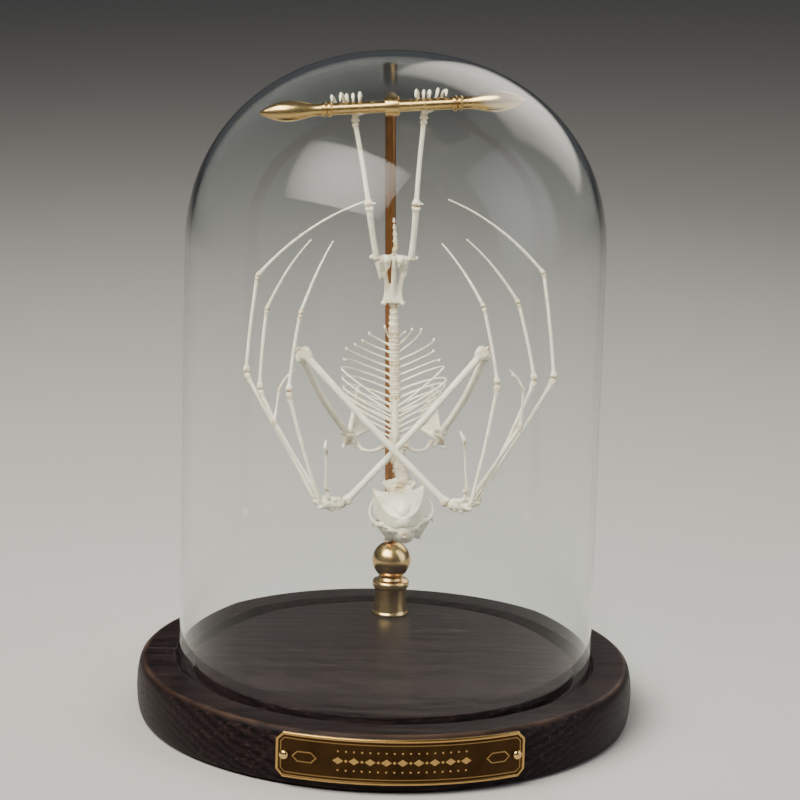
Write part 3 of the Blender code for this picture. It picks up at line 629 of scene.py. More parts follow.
bone, node, place = blank_material("bleached_bone")
stain_share = node("ShaderNodeAttribute", attribute_name="stain")["Fac"]
clouds = node("ShaderNodeTexNoise", {"Vector": place, "Scale": 260.0, "Detail": 5.0})["Fac"]
bone_ground = node("ShaderNodeMix", {0: clouds, 6: "#CBC2AB", 7: "#EDE7D6"}, data_type="RGBA")[2]
specks = node("ShaderNodeTexNoise", {"Vector": place, "Scale": 900.0, "Detail": 3.0})["Fac"]
stain_edge = node("ShaderNodeMath", {0: stain_share, 1: specks}, operation="MULTIPLY")[0]
stained = node("ShaderNodeMapRange", {0: stain_edge, 1: 0.12, 2: 0.62, 3: 0.0, 4: 0.9})[0]
bone_colour = node("ShaderNodeMix", {0: stained, 6: bone_ground, 7: "#A98D5E"}, data_type="RGBA")[2]
bone_rough = node("ShaderNodeMapRange", {0: clouds, 1: 0.3, 2: 0.7, 3: 0.36, 4: 0.52})[0]
pores = node("ShaderNodeTexNoise", {"Vector": place, "Scale": 2600.0, "Detail": 3.0})["Fac"]
bone_relief = node("ShaderNodeMath", {0: pores, 1: specks}, operation="ADD")[0]
bone_bump = node("ShaderNodeBump", {"Strength": 0.5, "Distance": 0.00006, "Height": bone_relief})[0]
bone_finish = {"Base Color": bone_colour, "Roughness": bone_rough, "Normal": bone_bump}
bone_shader = node("ShaderNodeBsdfPrincipled", {**bone_finish, "IOR": 1.55, "Specular IOR Level": 0.4})[0]
node("ShaderNodeOutputMaterial", {"Surface": bone_shader})


def smooth_line(points, steps):
    """A smooth line through a few points, each span cut into so many steps."""
    points = [Vector(point) for point in points]
    ends = [points[0] * 2 - points[1], *points, points[-1] * 2 - points[-2]]
    found = []
    for a, b, c, d in zip(ends, ends[1:], ends[2:], ends[3:]):
        for i in range(steps):
            t = i / steps
            curve = 2 * b + (c - a) * t + (2 * a - 5 * b + 4 * c - d) * t**2 + (3 * b - a - 3 * c + d) * t**3
            found.append(0.5 * curve)
    return [*found, points[-1]]


def eased(values, steps):
    """Values that swell and thin smoothly between those given."""
    found = []
    for a, b in zip(values, values[1:]):
        found += [a + (b - a) * (0.5 - 0.5 * math.cos(math.pi * i / steps)) for i in range(steps)]
    return [*found, values[-1]]


def rod(points, radii, sides=14, steps=6, flat=1.0, flat_way=None):
    """A round-ended rod along a smooth line. flat thins it along flat_way."""
    line, widths = smooth_line(points, steps), eased(radii, steps)
    first, last = (line[0] - line[1]).normalized(), (line[-1] - line[-2]).normalized()
    head, tail = radii[0], radii[-1]
    caps = ((0.4, 0.92), (0.75, 0.66), (0.97, 0.26))
    line = [Vector(points[0]) + first * head * far for far, _ in reversed(caps)] + line
    widths = [head * near for _, near in reversed(caps)] + widths
    line += [Vector(points[-1]) + last * tail * far for far, _ in caps]
    widths += [tail * near for _, near in caps]
    bm = bmesh.new()
    across = Vector(flat_way) if flat_way else (line[1] - line[0]).orthogonal()
    rings = []
    for i, point in enumerate(line):
        along = (line[min(i + 1, len(line) - 1)] - line[max(i - 1, 0)]).normalized()
        across = (across - across.dot(along) * along).normalized()
        other = along.cross(across)
        ring = []
        for k in range(sides):
            angle = 2 * math.pi * k / sides
            offset = across * math.cos(angle) * flat + other * math.sin(angle)
            ring.append(bm.verts.new(point + offset * widths[i]))
        rings.append(ring)
    for low, high in zip(rings, rings[1:]):
        for k in range(sides):
            j = (k + 1) % sides
            bm.faces.new((low[k], low[j], high[j], high[k]))
    bm.faces.new(list(reversed(rings[0])))
    bm.faces.new(rings[-1])
    return bm


def lump(centre, radii, turn=None):
    """An egg-shaped swelling."""
    bm = bmesh.new()
    bmesh.ops.create_icosphere(bm, subdivisions=3, radius=1.0)
    radii = (radii,) * 3 if isinstance(radii, (int, float)) else radii
    bm.transform(Matrix.Translation(Vector(centre)) @ (turn or Matrix()) @ Matrix.Diagonal((*radii, 1.0)))
    return bm


def leaf(rows, thickness):
    """A thin blade of bone spanned by rows of points, with a wall of the given thickness."""
    grid = [[Vector(point) for point in row] for row in rows]
    bm = bmesh.new()
    skins = []
    for side_sign in (0.5, -0.5):
        skin = []
        for i, row in enumerate(grid):
            skin.append([])
            for k, point in enumerate(row):
                down = grid[min(i + 1, len(grid) - 1)][k] - grid[max(i - 1, 0)][k]
                right = row[min(k + 1, len(row) - 1)] - row[max(k - 1, 0)]
                normal = down.cross(right).normalized()
                skin[-1].append(bm.verts.new(point + normal * thickness * side_sign))
        skins.append(skin)
    for skin in skins:
        for first, second in zip(skin, skin[1:]):
            for k in range(len(first) - 1):
                bm.faces.new((first[k], first[k + 1], second[k + 1], second[k]))
    top, under = skins
    last = len(grid) - 1
    for k in range(len(grid[0]) - 1):
        bm.faces.new((top[0][k], top[0][k + 1], under[0][k + 1], under[0][k]))
        bm.faces.new((top[last][k], top[last][k + 1], under[last][k + 1], under[last][k]))
    for i in range(last):
        bm.faces.new((top[i][0], top[i + 1][0], under[i + 1][0], under[i][0]))
        bm.faces.new((top[i][-1], top[i + 1][-1], under[i + 1][-1], under[i][-1]))
    bmesh.ops.recalc_face_normals(bm, faces=bm.faces)
    return bm


def together(shapes):
    """Several bmeshes as one mesh in millimetres."""
    whole = bmesh.new()
    for shape in shapes:
        bmesh.ops.recalc_face_normals(shape, faces=shape.faces)
        part = bpy.data.meshes.new("part")
        shape.to_mesh(part)
        shape.free()
        whole.from_mesh(part)
        bpy.data.meshes.remove(part)
    mesh = bpy.data.meshes.new("whole")
    whole.to_mesh(mesh)
    whole.free()
    return mesh


def voxel_skin(holder, grain):
    """Gives an object one even skin whose squares are as large as the grain."""
    skin = holder.modifiers.new("skin", "REMESH")
    skin.mode = "VOXEL"
    skin.voxel_size = grain


def fused(shapes, grain=0.2, soften=3, hollows=()):
    """One smooth skin over overlapping shapes, in millimetres. hollows are then cut out of it."""
    holders = [link_object("clay", together(group)) for group in (shapes, hollows) if group]
    clay = holders[0]
    voxel_skin(clay, grain)
    if hollows:
        cut = clay.modifiers.new("cut", "BOOLEAN")
        cut.operation = "DIFFERENCE"
        cut.object = holders[1]
        voxel_skin(clay, grain)
    ease = clay.modifiers.new("ease", "SMOOTH")
    ease.factor = 0.5
    ease.iterations = soften
    graph = bpy.context.evaluated_depsgraph_get()
    mesh = bpy.data.meshes.new_from_object(clay.evaluated_get(graph))
    for holder in holders:
        bpy.data.objects.remove(holder, do_unlink=True)
    return mesh


def show_bone(name, mesh, joints, *nodes, reach=2.6, tint=0.0):
    """Finishes a bone: metres, smooth shading, an even tint, and a stain that fades out round each joint."""
    points = np.empty(len(mesh.vertices) * 3, np.float32)
    mesh.vertices.foreach_get("co", points)
    points = points.reshape(-1, 3)
    stain = np.full(len(points), tint, np.float32)
    for joint in joints:
        away = np.linalg.norm(points - np.array(joint, np.float32), axis=1)
        stain = np.maximum(stain, np.clip(1.25 - away / reach, 0, 1))
    mesh.attributes.new("stain", "FLOAT", "POINT").data.foreach_set("value", stain)
    mesh.transform(Matrix.Scale(MM, 4))
    mesh.shade_smooth()
    show(name, mesh, bone, "bleached_bone", *nodes)


# ---- Feet ---------------------------------------------------------------------------------------
# Each foot comes up behind the perch and its five toes hook over the top, their claws resting on the
# front of the brass. The heel carries a short spur of gristle, the calcar.

sides_of = {"left": -1.0, "right": 1.0}
toe_places = {"left": (-24.3, -21.0, -19.0, -16.7, -14.3), "right": (5.8, 8.4, 10.5, 13.4, 16.3)}
toe_radii = [0.5, 0.4, 0.62, 0.5, 0.62, 0.28]


def bar_top(x):
    """Height of the perch's middle line at a place along it."""
    return bar_at.z + (x - bar_at.x) * math.tan(bar_tilt)


for side_name, sign in sides_of.items():
    ankle = moved(ends_of(f"tibia_{side_name}")[1], 0, 0.2, 0.5)
    heel = moved(ankle, 0, 0.3, 1.3)
    calcar = [moved(heel, 0, 0.3, 0.6), moved(heel, 1.5, 0.8, 1.1), moved(heel, 3.0, 1.2, 1.5)]
    shapes = [
        rod([ankle, heel, moved(heel, 0, 0.7, 2.2)], [1.0, 1.25, 0.9]),
        lump(moved(ankle, -0.9, 0, 0.5), (0.7, 0.8, 0.6)),
        lump(moved(ankle, 0.9, 0, 0.4), (0.7, 0.8, 0.6)),
        rod(calcar, [0.7, 0.45, 0.3]),
    ]
    for index, x in enumerate(toe_places[side_name]):
        height, inward = bar_top(x), heel.x - x
        lean = 0.35 * math.sin(2.3 * index + sign)
        path = [
            moved(heel, -0.1 * inward, 0.7, 1.8),
            (x + 0.3 * inward, 15.9, height + 0.2),
            (x + 0.1 * inward + lean, 15.0, height + 3.5),
            (x, 13.2, height + 4.9 + lean),
            (x - 0.3 * lean, 11.6, height + 4.2),
            (x - 0.6 * lean, 10.7, height + 3.0),
        ]
        shapes.append(rod(path, toe_radii, 10, 5))
    foot = fused(shapes, 0.16, 2)
    show_bone(f"foot_bones_{side_name}", foot, [ankle, heel], f"foot_{side_name}", reach=2.0)

# ---- Legs ---------------------------------------------------------------------------------------
# The shin and the thigh bone are plain straight rods with a knuckle at each end. They meet at a knee
# that bends backwards, where the kneecap's tendon leaves a small spur.


def long_bone(start, end, shaft, near, far, bow=(0, 0, 0), grain=0.18, extra=()):
    """A limb bone between two joint places. near and far are each end's (width, depth, length of flare)."""
    start, end, bow = Vector(start), Vector(end), Vector(bow)
    way = (end - start).normalized()
    long = (end - start).length
    across = way.cross(Vector((0, 1, 0))).normalized()
    turn = Matrix((across, across.cross(way), way)).transposed().to_4x4()
    places = (0.0, near[2] / long, 0.5, 1 - far[2] / long, 1.0)
    path = [start.lerp(end, t) + bow * 4 * t * (1 - t) for t in places]
    path[0] += way * near[1] * 0.5
    path[-1] -= way * far[1] * 0.5
    shapes = [rod(path, [0.8 * near[1], 1.06 * shaft, shaft, 1.06 * shaft, 0.8 * far[1]], 16, 10)]
    for point, inward, (width, depth, length) in ((start, way, near), (end, -way, far)):
        shapes.append(lump(point + inward * 0.24 * length, (0.88 * width, 0.92 * depth, 0.36 * length), turn))
        for lean in (1, -1):
            knuckle = point + inward * 0.17 * length + across * 0.44 * width * lean
            shapes.append(lump(knuckle, (0.5 * width, 0.92 * depth, 0.24 * length), turn))
    shapes += [lump(place, radii, turn) for place, radii in extra]
    return fused(shapes, grain, 2)


for side_name, sign in sides_of.items():
    hip, knee = ends_of(f"femur_{side_name}")
    trochanter = [(moved(hip, 1.5 * sign, 0.3, 0.7), (1.2, 0.8, 1.0))]
    bow = (0.2 * sign, 0, 0)
    thigh = long_bone(hip, knee, 1.08, (1.5, 1.4, 3.0), (1.75, 1.5, 3.8), bow, extra=trochanter)
    show_bone(f"thigh_bone_{side_name}", thigh, [hip, knee], f"femur_{side_name}")
    knee, ankle = ends_of(f"tibia_{side_name}")
    spur = [(moved(knee, 1.5, 0.2, 0.5), (1.2, 0.5, 0.5))]
    shin = long_bone(knee, ankle, 0.84, (1.75, 1.5, 3.8), (1.4, 1.3, 3.2), (-0.2 * sign, 0, 0), extra=spur)
    show_bone(f"shin_bone_{side_name}", shin, [knee, ankle], f"tibia_{side_name}")

# ---- Pelvis -------------------------------------------------------------------------------------
# The two hip bones are long blades fused to the sacrum. Each has an open window below the hip socket,
# ringed by the slender sitting and pubic bones.

pelvis_low, pelvis_high = box_of("pelvis")
sacrum_low = Vector((-0.4, 25.8, pelvis_low.z + 1.0))
sacrum_high = Vector((-0.6, 26.0, pelvis_high.z - 1.6))
middle_x = -0.5
seam = [(middle_x, 24.0, 151.0), (middle_x, 21.6, 158.0), (-0.4, 19.8, 165.4)]
shapes = [
    rod([sacrum_low, sacrum_low.lerp(sacrum_high, 0.4), sacrum_high], [1.9, 1.0, 0.8], 14, 8),
    rod(seam, [1.1, 0.85, 1.0], 14, 8),
]
for i in range(4):
    knob = sacrum_low.lerp(sacrum_high, (i + 0.4) / 4)
    shapes.append(lump(moved(knob, 0, 1.0, 0), (0.6, 1.6 - 0.2 * i, 1.1)))
for sign in sides_of.values():
    foot = Vector((middle_x + 3.1 * sign, 24.0, pelvis_low.z + 1.2))
    waist = Vector((middle_x + 2.5 * sign, 24.2, 152.4))
    window_side = Vector((middle_x + 3.0 * sign, 22.8, 158.0))
    socket = Vector((-1.2 + 4.6 * sign, 20.8, 164.4))
    seam_top = Vector((middle_x + 1.3 * sign, 18.6, 164.8))
    top_rim = Vector((middle_x + 0.4 * sign, 24.0, 166.4))
    blade = [
        [point.lerp(Vector((middle_x, 23.6, point.z)), s) for s in (0, 0.5, 1)]
        for point in (foot, waist, waist.lerp(window_side, 0.5))
    ]
    upper_plate = [
        [socket, seam_top.lerp(socket, 0.4), seam_top],
        [moved(socket, -sign, 1, 1.8), moved(seam_top.lerp(top_rim, 0.5), sign, 0, 0.6), top_rim],
    ]
    lower_plate = [
        [socket, seam_top.lerp(socket, 0.5), seam_top],
        [window_side, window_side.lerp(seam_top, 0.4), moved(seam_top, 0.4 * sign, 0.6, -2.4)],
    ]
    shapes += [
        rod([foot, waist, window_side, socket], [0.9, 0.85, 0.85, 1.5], 14, 8),
        lump(moved(foot, 0.3 * sign, -0.2, 0), (1.1, 0.8, 0.9)),
        leaf(blade, 1.2),
        leaf(upper_plate, 0.9),
        leaf(lower_plate, 0.9),
        lump(socket, (1.7, 1.7, 1.9)),
        lump(moved(seam_top, 1.2 * sign, 0.4, 0.2), (1.3, 1.1, 1.7)),
        lump(moved(window_side, 0.6 * sign, -0.6, 2.8), (1.3, 1.0, 3.4)),
    ]
    if sign < 0:  # only the left hip bone keeps its sitting spur
        spur = moved(window_side, -1.9, -1.2, 0.8)
        shapes.append(rod([moved(socket, -0.3, 0, -1.0), spur, moved(spur, -0.2, 0, -1.6)], [1.4, 0.9, 0.3]))
pelvis = fused(shapes, 0.18, 2)
show_bone("hip_bones", pelvis, [sacrum_low, sacrum_high], "pelvis", reach=3.5, tint=0.45)

# ---- Spine --------------------------------------------------------------------------------------
# The vertebrae are strung in a row: a waisted drum, an arch with a low crest behind it, and a short
# spur each side. One shape is repeated along each stretch, larger or smaller along the row.

vertebra_row = row_group("vertebra_row", axis="Z")


def vertebra(radius, height, spur, crest):
    """One vertebra with its drum along Z, its crest towards +Y and its spurs along X, in metres."""
    shapes = [
        rod([(0, 0, -0.5 * height), (0, 0, 0), (0, 0, 0.5 * height)], [0.84 * radius] * 3, 16, 6),
        lump((0, 0.9 * radius, 0), (0.8 * radius, 0.75 * radius, 0.42 * height)),
        rod([(0, radius, 0), (0, radius + crest, -0.2 * height)], [0.42 * radius, 0.24 * radius]),
    ]
    for sign in (1, -1):
        tip = (sign * spur, 0.25 * radius, -0.18 * height)
        facet = (0.62 * radius * sign, 0.9 * radius, 0.34 * height)
        shapes += [
            lump((0, 0, 0.36 * height * sign), (1.02 * radius, 0.95 * radius, 0.16 * height)),
            rod([(0.4 * radius * sign, 0.2 * radius, 0), tip], [0.5 * radius, 0.3 * radius]),
            lump(facet, (0.3 * radius, 0.4 * radius, 0.3 * height)),
        ]
    mesh = fused(shapes, 0.2, 2)
    mesh.transform(Matrix.Scale(MM, 4))
    mesh.shade_smooth()
    return link_object("vertebra", mesh)


def spine_part(name, line, count, size, ends, stained, *nodes):
    """A row of vertebrae along a line. size is (radius, height, spur, crest), ends the scale at each end."""
    one = vertebra(*size)
    chosen = {"Count": count, "Shape": one, "First Size": ends[0], "Last Size": ends[1], "Material": bone}
    mesh = grown(guide_curve([smooth_line(line, 8)]), vertebra_row, chosen)
    bpy.data.objects.remove(one, do_unlink=True)
    mesh.transform(Matrix.Scale(1 / MM, 4))
    show_bone(name, mesh, stained, *nodes, reach=4.0, tint=0.65)


neck_low, neck_high = ends_of("neck")
loin_low, loin_high = ends_of("lumbar")
chest_low, chest_high = moved(neck_high, 0, 0.3, 1.4), moved(loin_low, 0, -0.2, -1.2)
tail = ends_of("tail")
spine_part("tail_bones", tail, 5, (0.75, 2.0, 0.9, 0.2), (1.1, 0.6), [tail[0]], "tail")
loin_path = [moved(loin_low, 0, 0, 1.2), loin_low.lerp(loin_high, 0.5), moved(loin_high, 0, 0, -1.2)]
loin_size = (1.75, 3.2, 1.5, 1.3)
spine_part("loin_vertebrae", loin_path, 4, loin_size, (1.06, 0.9), [loin_low, loin_high], "lumbar")
chest_path = [moved(chest_low, 0, 0, 0.8), moved(chest_low.lerp(chest_high, 0.5), 0, 0.8, 0), chest_high]
chest_size = (2.1, 2.8, 1.7, 1.2)
glued = [chest_low, chest_low.lerp(chest_high, 0.35), chest_low.lerp(chest_high, 0.7), chest_high]
cages = ("rib_cage_left", "rib_cage_right")
spine_part("chest_vertebrae", chest_path, 13, chest_size, (1.06, 0.92), glued, *cages)

# ---- Ribs ---------------------------------------------------------------------------------------
# Thirteen pairs of slender hooped ribs spring from the chest vertebrae and sweep up and forward. The
# first seven go on as pale gristle to the breastbone; the rest end free. Each is one swept thread.

rib_sizes = {  # how far each rib's end reaches out from the spine and rises above its root, neck end first
    "left": (
        (12.6, 14.9, 16.4, 17.5, 18.5, 18.7, 19.0, 18.3, 17.5, 14.3, 11.5, 9.1, 3.4),
        (6.0, 6.9, 7.1, 6.8, 6.8, 7.4, 8.2, 8.9, 9.8, 8.2, 6.4, 6.0, 5.4),
    ),
    "right": (
        (11.4, 14.5, 15.4, 16.0, 17.4, 18.0, 17.2, 15.8, 13.8, 14.1, 9.5, 6.4, 3.9),
        (6.7, 7.0, 7.3, 8.3, 8.3, 7.6, 9.7, 9.6, 9.8, 10.7, 11.2, 7.9, 3.6),
    ),
}
true_ribs = 7
root_depth = 27.0  # how far behind the middle of the case the ribs spring
hoop_steps = 22
sternum_low, sternum_high = box_of("sternum")
sternum_x = 0.5 * (sternum_low.x + sternum_high.x)
sternum_foot = Vector((sternum_x, -1.0, sternum_low.z + 2.4))
sternum_top = Vector((sternum_x - 0.7, -0.4, sternum_high.z - 0.4))

rib_inputs = {"Half Width": ("Float", 0.0004), "Material": ("Material", None)}
rib_bundle, node, given = grower("rib_bundle", rib_inputs)
ring = node("GeometryNodeCurvePrimitiveCircle", {"Resolution": 10, "Radius": given["Half Width"]})[0]
oval = node("GeometryNodeTransform", {"Geometry": ring, "Scale": (1.0, 0.85, 1.0)})[0]
swell = node("GeometryNodeInputRadius")[0]
threads = node(
    "GeometryNodeCurveToMesh",
    {"Curve": given["Geometry"], "Profile Curve": oval, "Scale": swell, "Fill Caps": True},
)[0]
grow_out(node, threads, given["Material"])


def bezier(points, steps):
    """Points along a Bezier curve with any number of control points."""
    found = []
    for i in range(steps + 1):
        level = [Vector(point) for point in points]
        while len(level) > 1:
            level = [a.lerp(b, i / steps) for a, b in zip(level, level[1:])]
        found.append(level[0])
    return found


for side_name, sign in sides_of.items():
    lines, swells = [], []
    reaches, rises = rib_sizes[side_name]
    for i, (reach, rise) in enumerate(zip(reaches, rises)):
        share = i / (len(reaches) - 1)
        centre = chest_low.lerp(chest_high, (i + 0.5) / len(reaches))
        front = 8.0 + 12.5 * max(0.0, share - 0.5) / 0.5
        late = min(3, max(0, i - 5))  # ribs near the loin rise more evenly along their length
        hoop = [moved(centre, 1.5 * sign, 1.0, 0)]
        for out, depth, up in (
            (0.85, root_depth, 0.75 - 0.11 * late),
            (1.1, 0.5 * (root_depth + front), 1.0 - 0.05 * late),
            (1.0, front, 1.0),
        ):
            hoop.append((centre.x + sign * out * reach, depth, centre.z + up * rise))
        path = bezier(hoop, hoop_steps)
        if i < true_ribs:
            end = moved(sternum_foot.lerp(sternum_top, 0.12 + 0.8 * i / (true_ribs - 1)), sign * 1.2, 0.2, 0)
            bend = moved(path[-1].lerp(end, 0.4), sign * 1.0, -2.6, 0.2)
            onward = path[-1] + (path[-1] - path[-2]).normalized() * 1.8
            path += bezier((path[-1], onward, bend, end), 16)[1:]
        lines.append(path)
        swells.append([])
        for k in range(len(path)):  # thick at the root, with a knot where bone gives way to gristle
            knot = 0.2 * math.exp(-((k - hoop_steps) ** 2) / 6)
            swells[-1].append(1.25 - 0.35 * min(1, 6 * k / (len(path) - 1)) + knot)
    mesh = grown(guide_curve(lines, swells), rib_bundle, {"Half Width": 0.46 * MM, "Material": bone})
    mesh.transform(Matrix.Scale(1 / MM, 4))
    show_bone(f"ribs_{side_name}", mesh, [], f"rib_cage_{side_name}")

# ---- Breastbone ---------------------------------------------------------------------------------
# A narrow jointed bar of bone with a keel at its head end, where two wings reach out to the
# collarbones. The gristle of the first seven ribs is glued along both its edges.

shapes = [
    rod([sternum_top, sternum_top.lerp(sternum_foot, 0.5), sternum_foot], [0.75, 1.05, 1.4], 14, 10),
    rod([moved(sternum_foot, 0, -2.0, 2.6), moved(sternum_foot, 0, -0.8, -0.8)], [0.55, 1.1]),
    lump(moved(sternum_foot, 0, 0, -0.6), (2.0, 1.3, 2.0)),
]
for i in range(5):
    shapes.append(lump(sternum_top.lerp(sternum_foot, (i + 0.5) / 5.5), (1.15 + 0.1 * i, 0.9, 1.1)))
for sign in sides_of.values():
    shapes.append(rod([sternum_foot, moved(sternum_foot, 2.9 * sign, 0.8, -1.2)], [1.2, 0.75]))
show_bone("breastbone", fused(shapes, 0.18, 2), [sternum_foot], "sternum", reach=3.5)

# ---- Shoulder girdle ----------------------------------------------------------------------------
# Thin triangular shoulder blades with a raised spine lie behind the ribs. Strong bowed collarbones
# join them to the breastbone.

for side_name, sign in sides_of.items():
    shoulder = ends_of(f"humerus_{side_name}")[0]
    socket = moved(shoulder, 0.6 * sign, 3.6, -2.6)
    tail_corner = moved(shoulder, -2.4 * sign, 17.4, 14.0)
    head_corner = moved(shoulder, -8.2 * sign, 17.2, -1.2)
    rows = []
    for k in range(7):
        inner = tail_corner.lerp(head_corner, k / 6)
        dish = Vector((0, 1.2 * math.sin(math.pi * k / 6), 0))
        rows.append([socket.lerp(inner, s) + dish * math.sin(math.pi * s) for s in (0.08, 0.35, 0.65, 1.0)])
    edge_middle = moved(tail_corner.lerp(head_corner, 0.5), 0, 0.4, 0)
    middle = tail_corner.lerp(head_corner, 0.6)
    crest = moved(socket, 0.9 * sign, 1.8, -0.4)
    crest_middle = moved(socket.lerp(middle, 0.5), 0.9 * sign, 1.8, -0.4)
    shapes = [
        leaf(rows, 0.62),
        rod([socket, tail_corner], [1.0, 0.5], 12, 10),
        rod([socket, head_corner], [0.9, 0.45], 12, 10),
        rod([tail_corner, edge_middle, head_corner], [0.6, 0.4, 0.6]),
        rod([crest, crest_middle, middle], [0.7, 0.45, 0.35]),
        lump(socket, (1.7, 1.6, 1.9)),
        rod([socket, moved(socket, -2.4 * sign, -1.6, -2.2)], [0.9, 0.5]),
        rod([crest, moved(socket, 1.6 * sign, -1.2, -2.6)], [0.7, 0.6]),
    ]
    blade = fused(shapes, 0.2, 2)
    show_bone(f"shoulder_blade_{side_name}", blade, [socket], f"scapula_{side_name}", reach=3.0)

    start, end = moved(sternum_foot, 3.7 * sign, 0.9, -1.6), moved(shoulder, -2.9 * sign, 0.6, -2.9)
    arc = bezier((start, moved(start, 4.0 * sign, 1.0, -3.4), moved(end, -1.4 * sign, -2.0, -3.2), end), 4)
    collar_bone = fused([rod(arc, [0.95, 0.7, 0.62, 0.72, 1.0], 14, 8)], 0.16, 2)
    show_bone(f"collarbone_{side_name}", collar_bone, [start, end], f"clavicle_{side_name}")

# ---- Arms ---------------------------------------------------------------------------------------
# The upper arm bones rise from the shoulders to the elbows. From there the long, slightly bowed
# forearms come down and cross in front of the throat, the left one in front.

for side_name, sign in sides_of.items():
    shoulder, elbow = ends_of(f"humerus_{side_name}")
    neck_of_arm = shoulder.lerp(elbow, 0.06)
    crest = [
        (moved(neck_of_arm, 1.3 * sign, -1.0, -0.4), (1.1, 0.9, 1.6)),
        (moved(neck_of_arm, -1.5 * sign, -0.4, 0.2), (1.1, 0.9, 1.4)),
        (moved(shoulder.lerp(elbow, 0.16), 0.7 * sign, -0.9, 0.2), (0.8, 0.7, 3.2)),
    ]
    bow = (1.2 * sign, 0, -1.0)
    upper = long_bone(shoulder, elbow, 1.3, (2.7, 2.3, 5.4), (3.0, 2.1, 6.4), bow, 0.2, crest)
    show_bone(f"upper_arm_bone_{side_name}", upper, [shoulder, elbow], f"humerus_{side_name}", reach=3.2)

    wrist, elbow = ends_of(f"radius_{side_name}")
    knobs = [
        (moved(elbow, 1.9 * sign, 0.6, 0.2), (0.9, 0.8, 1.3)),
        (moved(elbow, -2.2 * sign, 0.2, -0.1), (0.75, 0.8, 1.2)),
        (moved(elbow, -0.8 * sign, -0.2, 0.5), (0.6, 0.8, 1.0)),
        (moved(elbow, 0.7 * sign, -0.2, 0.7), (0.6, 0.8, 0.9)),
    ]
    fore = long_bone(wrist, elbow, 1.22, (2.0, 1.8, 5.6), (2.7, 2.0, 8.0), (0.0, -0.6, -0.9), 0.2, knobs)
    show_bone(f"forearm_bone_{side_name}", fore, [wrist, elbow], f"radius_{side_name}", reach=3.4)

# ---- Wrists and thumbs --------------------------------------------------------------------------
# The wrist is a tight block of small lumpy bones glued together. The free thumb rises from it on its
# own short hand bone and ends in a hooked claw.

wrist_lumps = (  # x towards the hand, y, z and radius of each small bone
    (-2.0, -0.8, 1.3, 1.2),
    (-0.4, -1.4, 1.5, 1.15),
    (1.6, -1.2, 1.9, 1.2),
    (2.6, 0.6, 1.2, 1.35),
    (-1.6, -0.6, -1.6, 1.1),
    (0.6, -0.8, -1.8, 1.2),
    (2.2, -0.4, -1.0, 1.3),
    (3.1, -0.6, 0.2, 1.1),
    (0.2, 1.4, 0.2, 1.4),
)
for side_name, sign in sides_of.items():
    hand = -sign  # the forearms cross, so the left hand is at +X
    low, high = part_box(f"carpus_{side_name}")
    middle = (low + high) / 2 / MM
    root, tip = ends_of(f"thumb_{side_name}")
    shapes = [rod([moved(middle, -2.6 * hand, 0, 0), moved(middle, 2.2 * hand, 0, 0)], [2.1, 2.5], 16, 6)]
    shapes += [lump(moved(middle, x * hand, y, z), radius) for x, y, z, radius in wrist_lumps]
    for finger in (3, 4, 5):
        seat = moved(ends_of(f"metacarpal{finger}_{side_name}")[0], -0.2 * hand, 0, -0.7)
        shapes.append(rod([moved(middle, 1.2 * hand, 0, 0), seat], [1.9, 1.15], 14, 6))
    shapes.append(rod([moved(middle, 0.8 * hand, 0, 0), moved(root, 0, 0, -1.2)], [1.4, 0.8], 12, 6))
    carpals, wrist = fused(shapes, 0.18, 5), ends_of(f"radius_{side_name}")[0]
    show_bone(f"wrist_bones_{side_name}", carpals, [wrist], f"carpus_{side_name}", reach=3.4, tint=0.3)

    knuckle = moved(root, 0.6 * hand, -0.7, 2.2)
    joint = moved(tip.lerp(root, 0.21), 1.2 if hand > 0 else 0.1, -0.4, 0)
    claw = [joint, moved(joint.lerp(tip, 0.35), 0.3 * hand, -0.9, 0.4), joint.lerp(tip, 0.8), tip]
    shapes = [
        rod([moved(root, 0, 0, -0.8), root.lerp(knuckle, 0.5), knuckle], [0.7, 0.55, 0.9]),
        lump(moved(knuckle, 0, 0, 0.3), (0.9, 0.85, 1.2)),
        lump(moved(knuckle, -1.0 * hand, 0, -0.2), (0.6, 0.6, 0.7)),
        rod([knuckle, knuckle.lerp(joint, 0.2), knuckle.lerp(joint, 0.8), joint], [0.8, 0.5, 0.45, 0.55]),
        lump(joint, (0.62, 0.6, 1.1)),
        rod(claw, [0.5, 0.62, 0.46, 0.2]),
    ]
    thumb = fused(shapes, 0.15, 2)
    show_bone(f"thumb_bones_{side_name}", thumb, [knuckle, joint], f"thumb_{side_name}", reach=1.8)

# ---- Fingers ------------------------------------------------------------------------------------
# Four fingers spread each wing. The long hand bones and first joints are glued knuckle to knuckle; the
# last joint of fingers three to five is a whip-thin rod that curls in towards the legs.

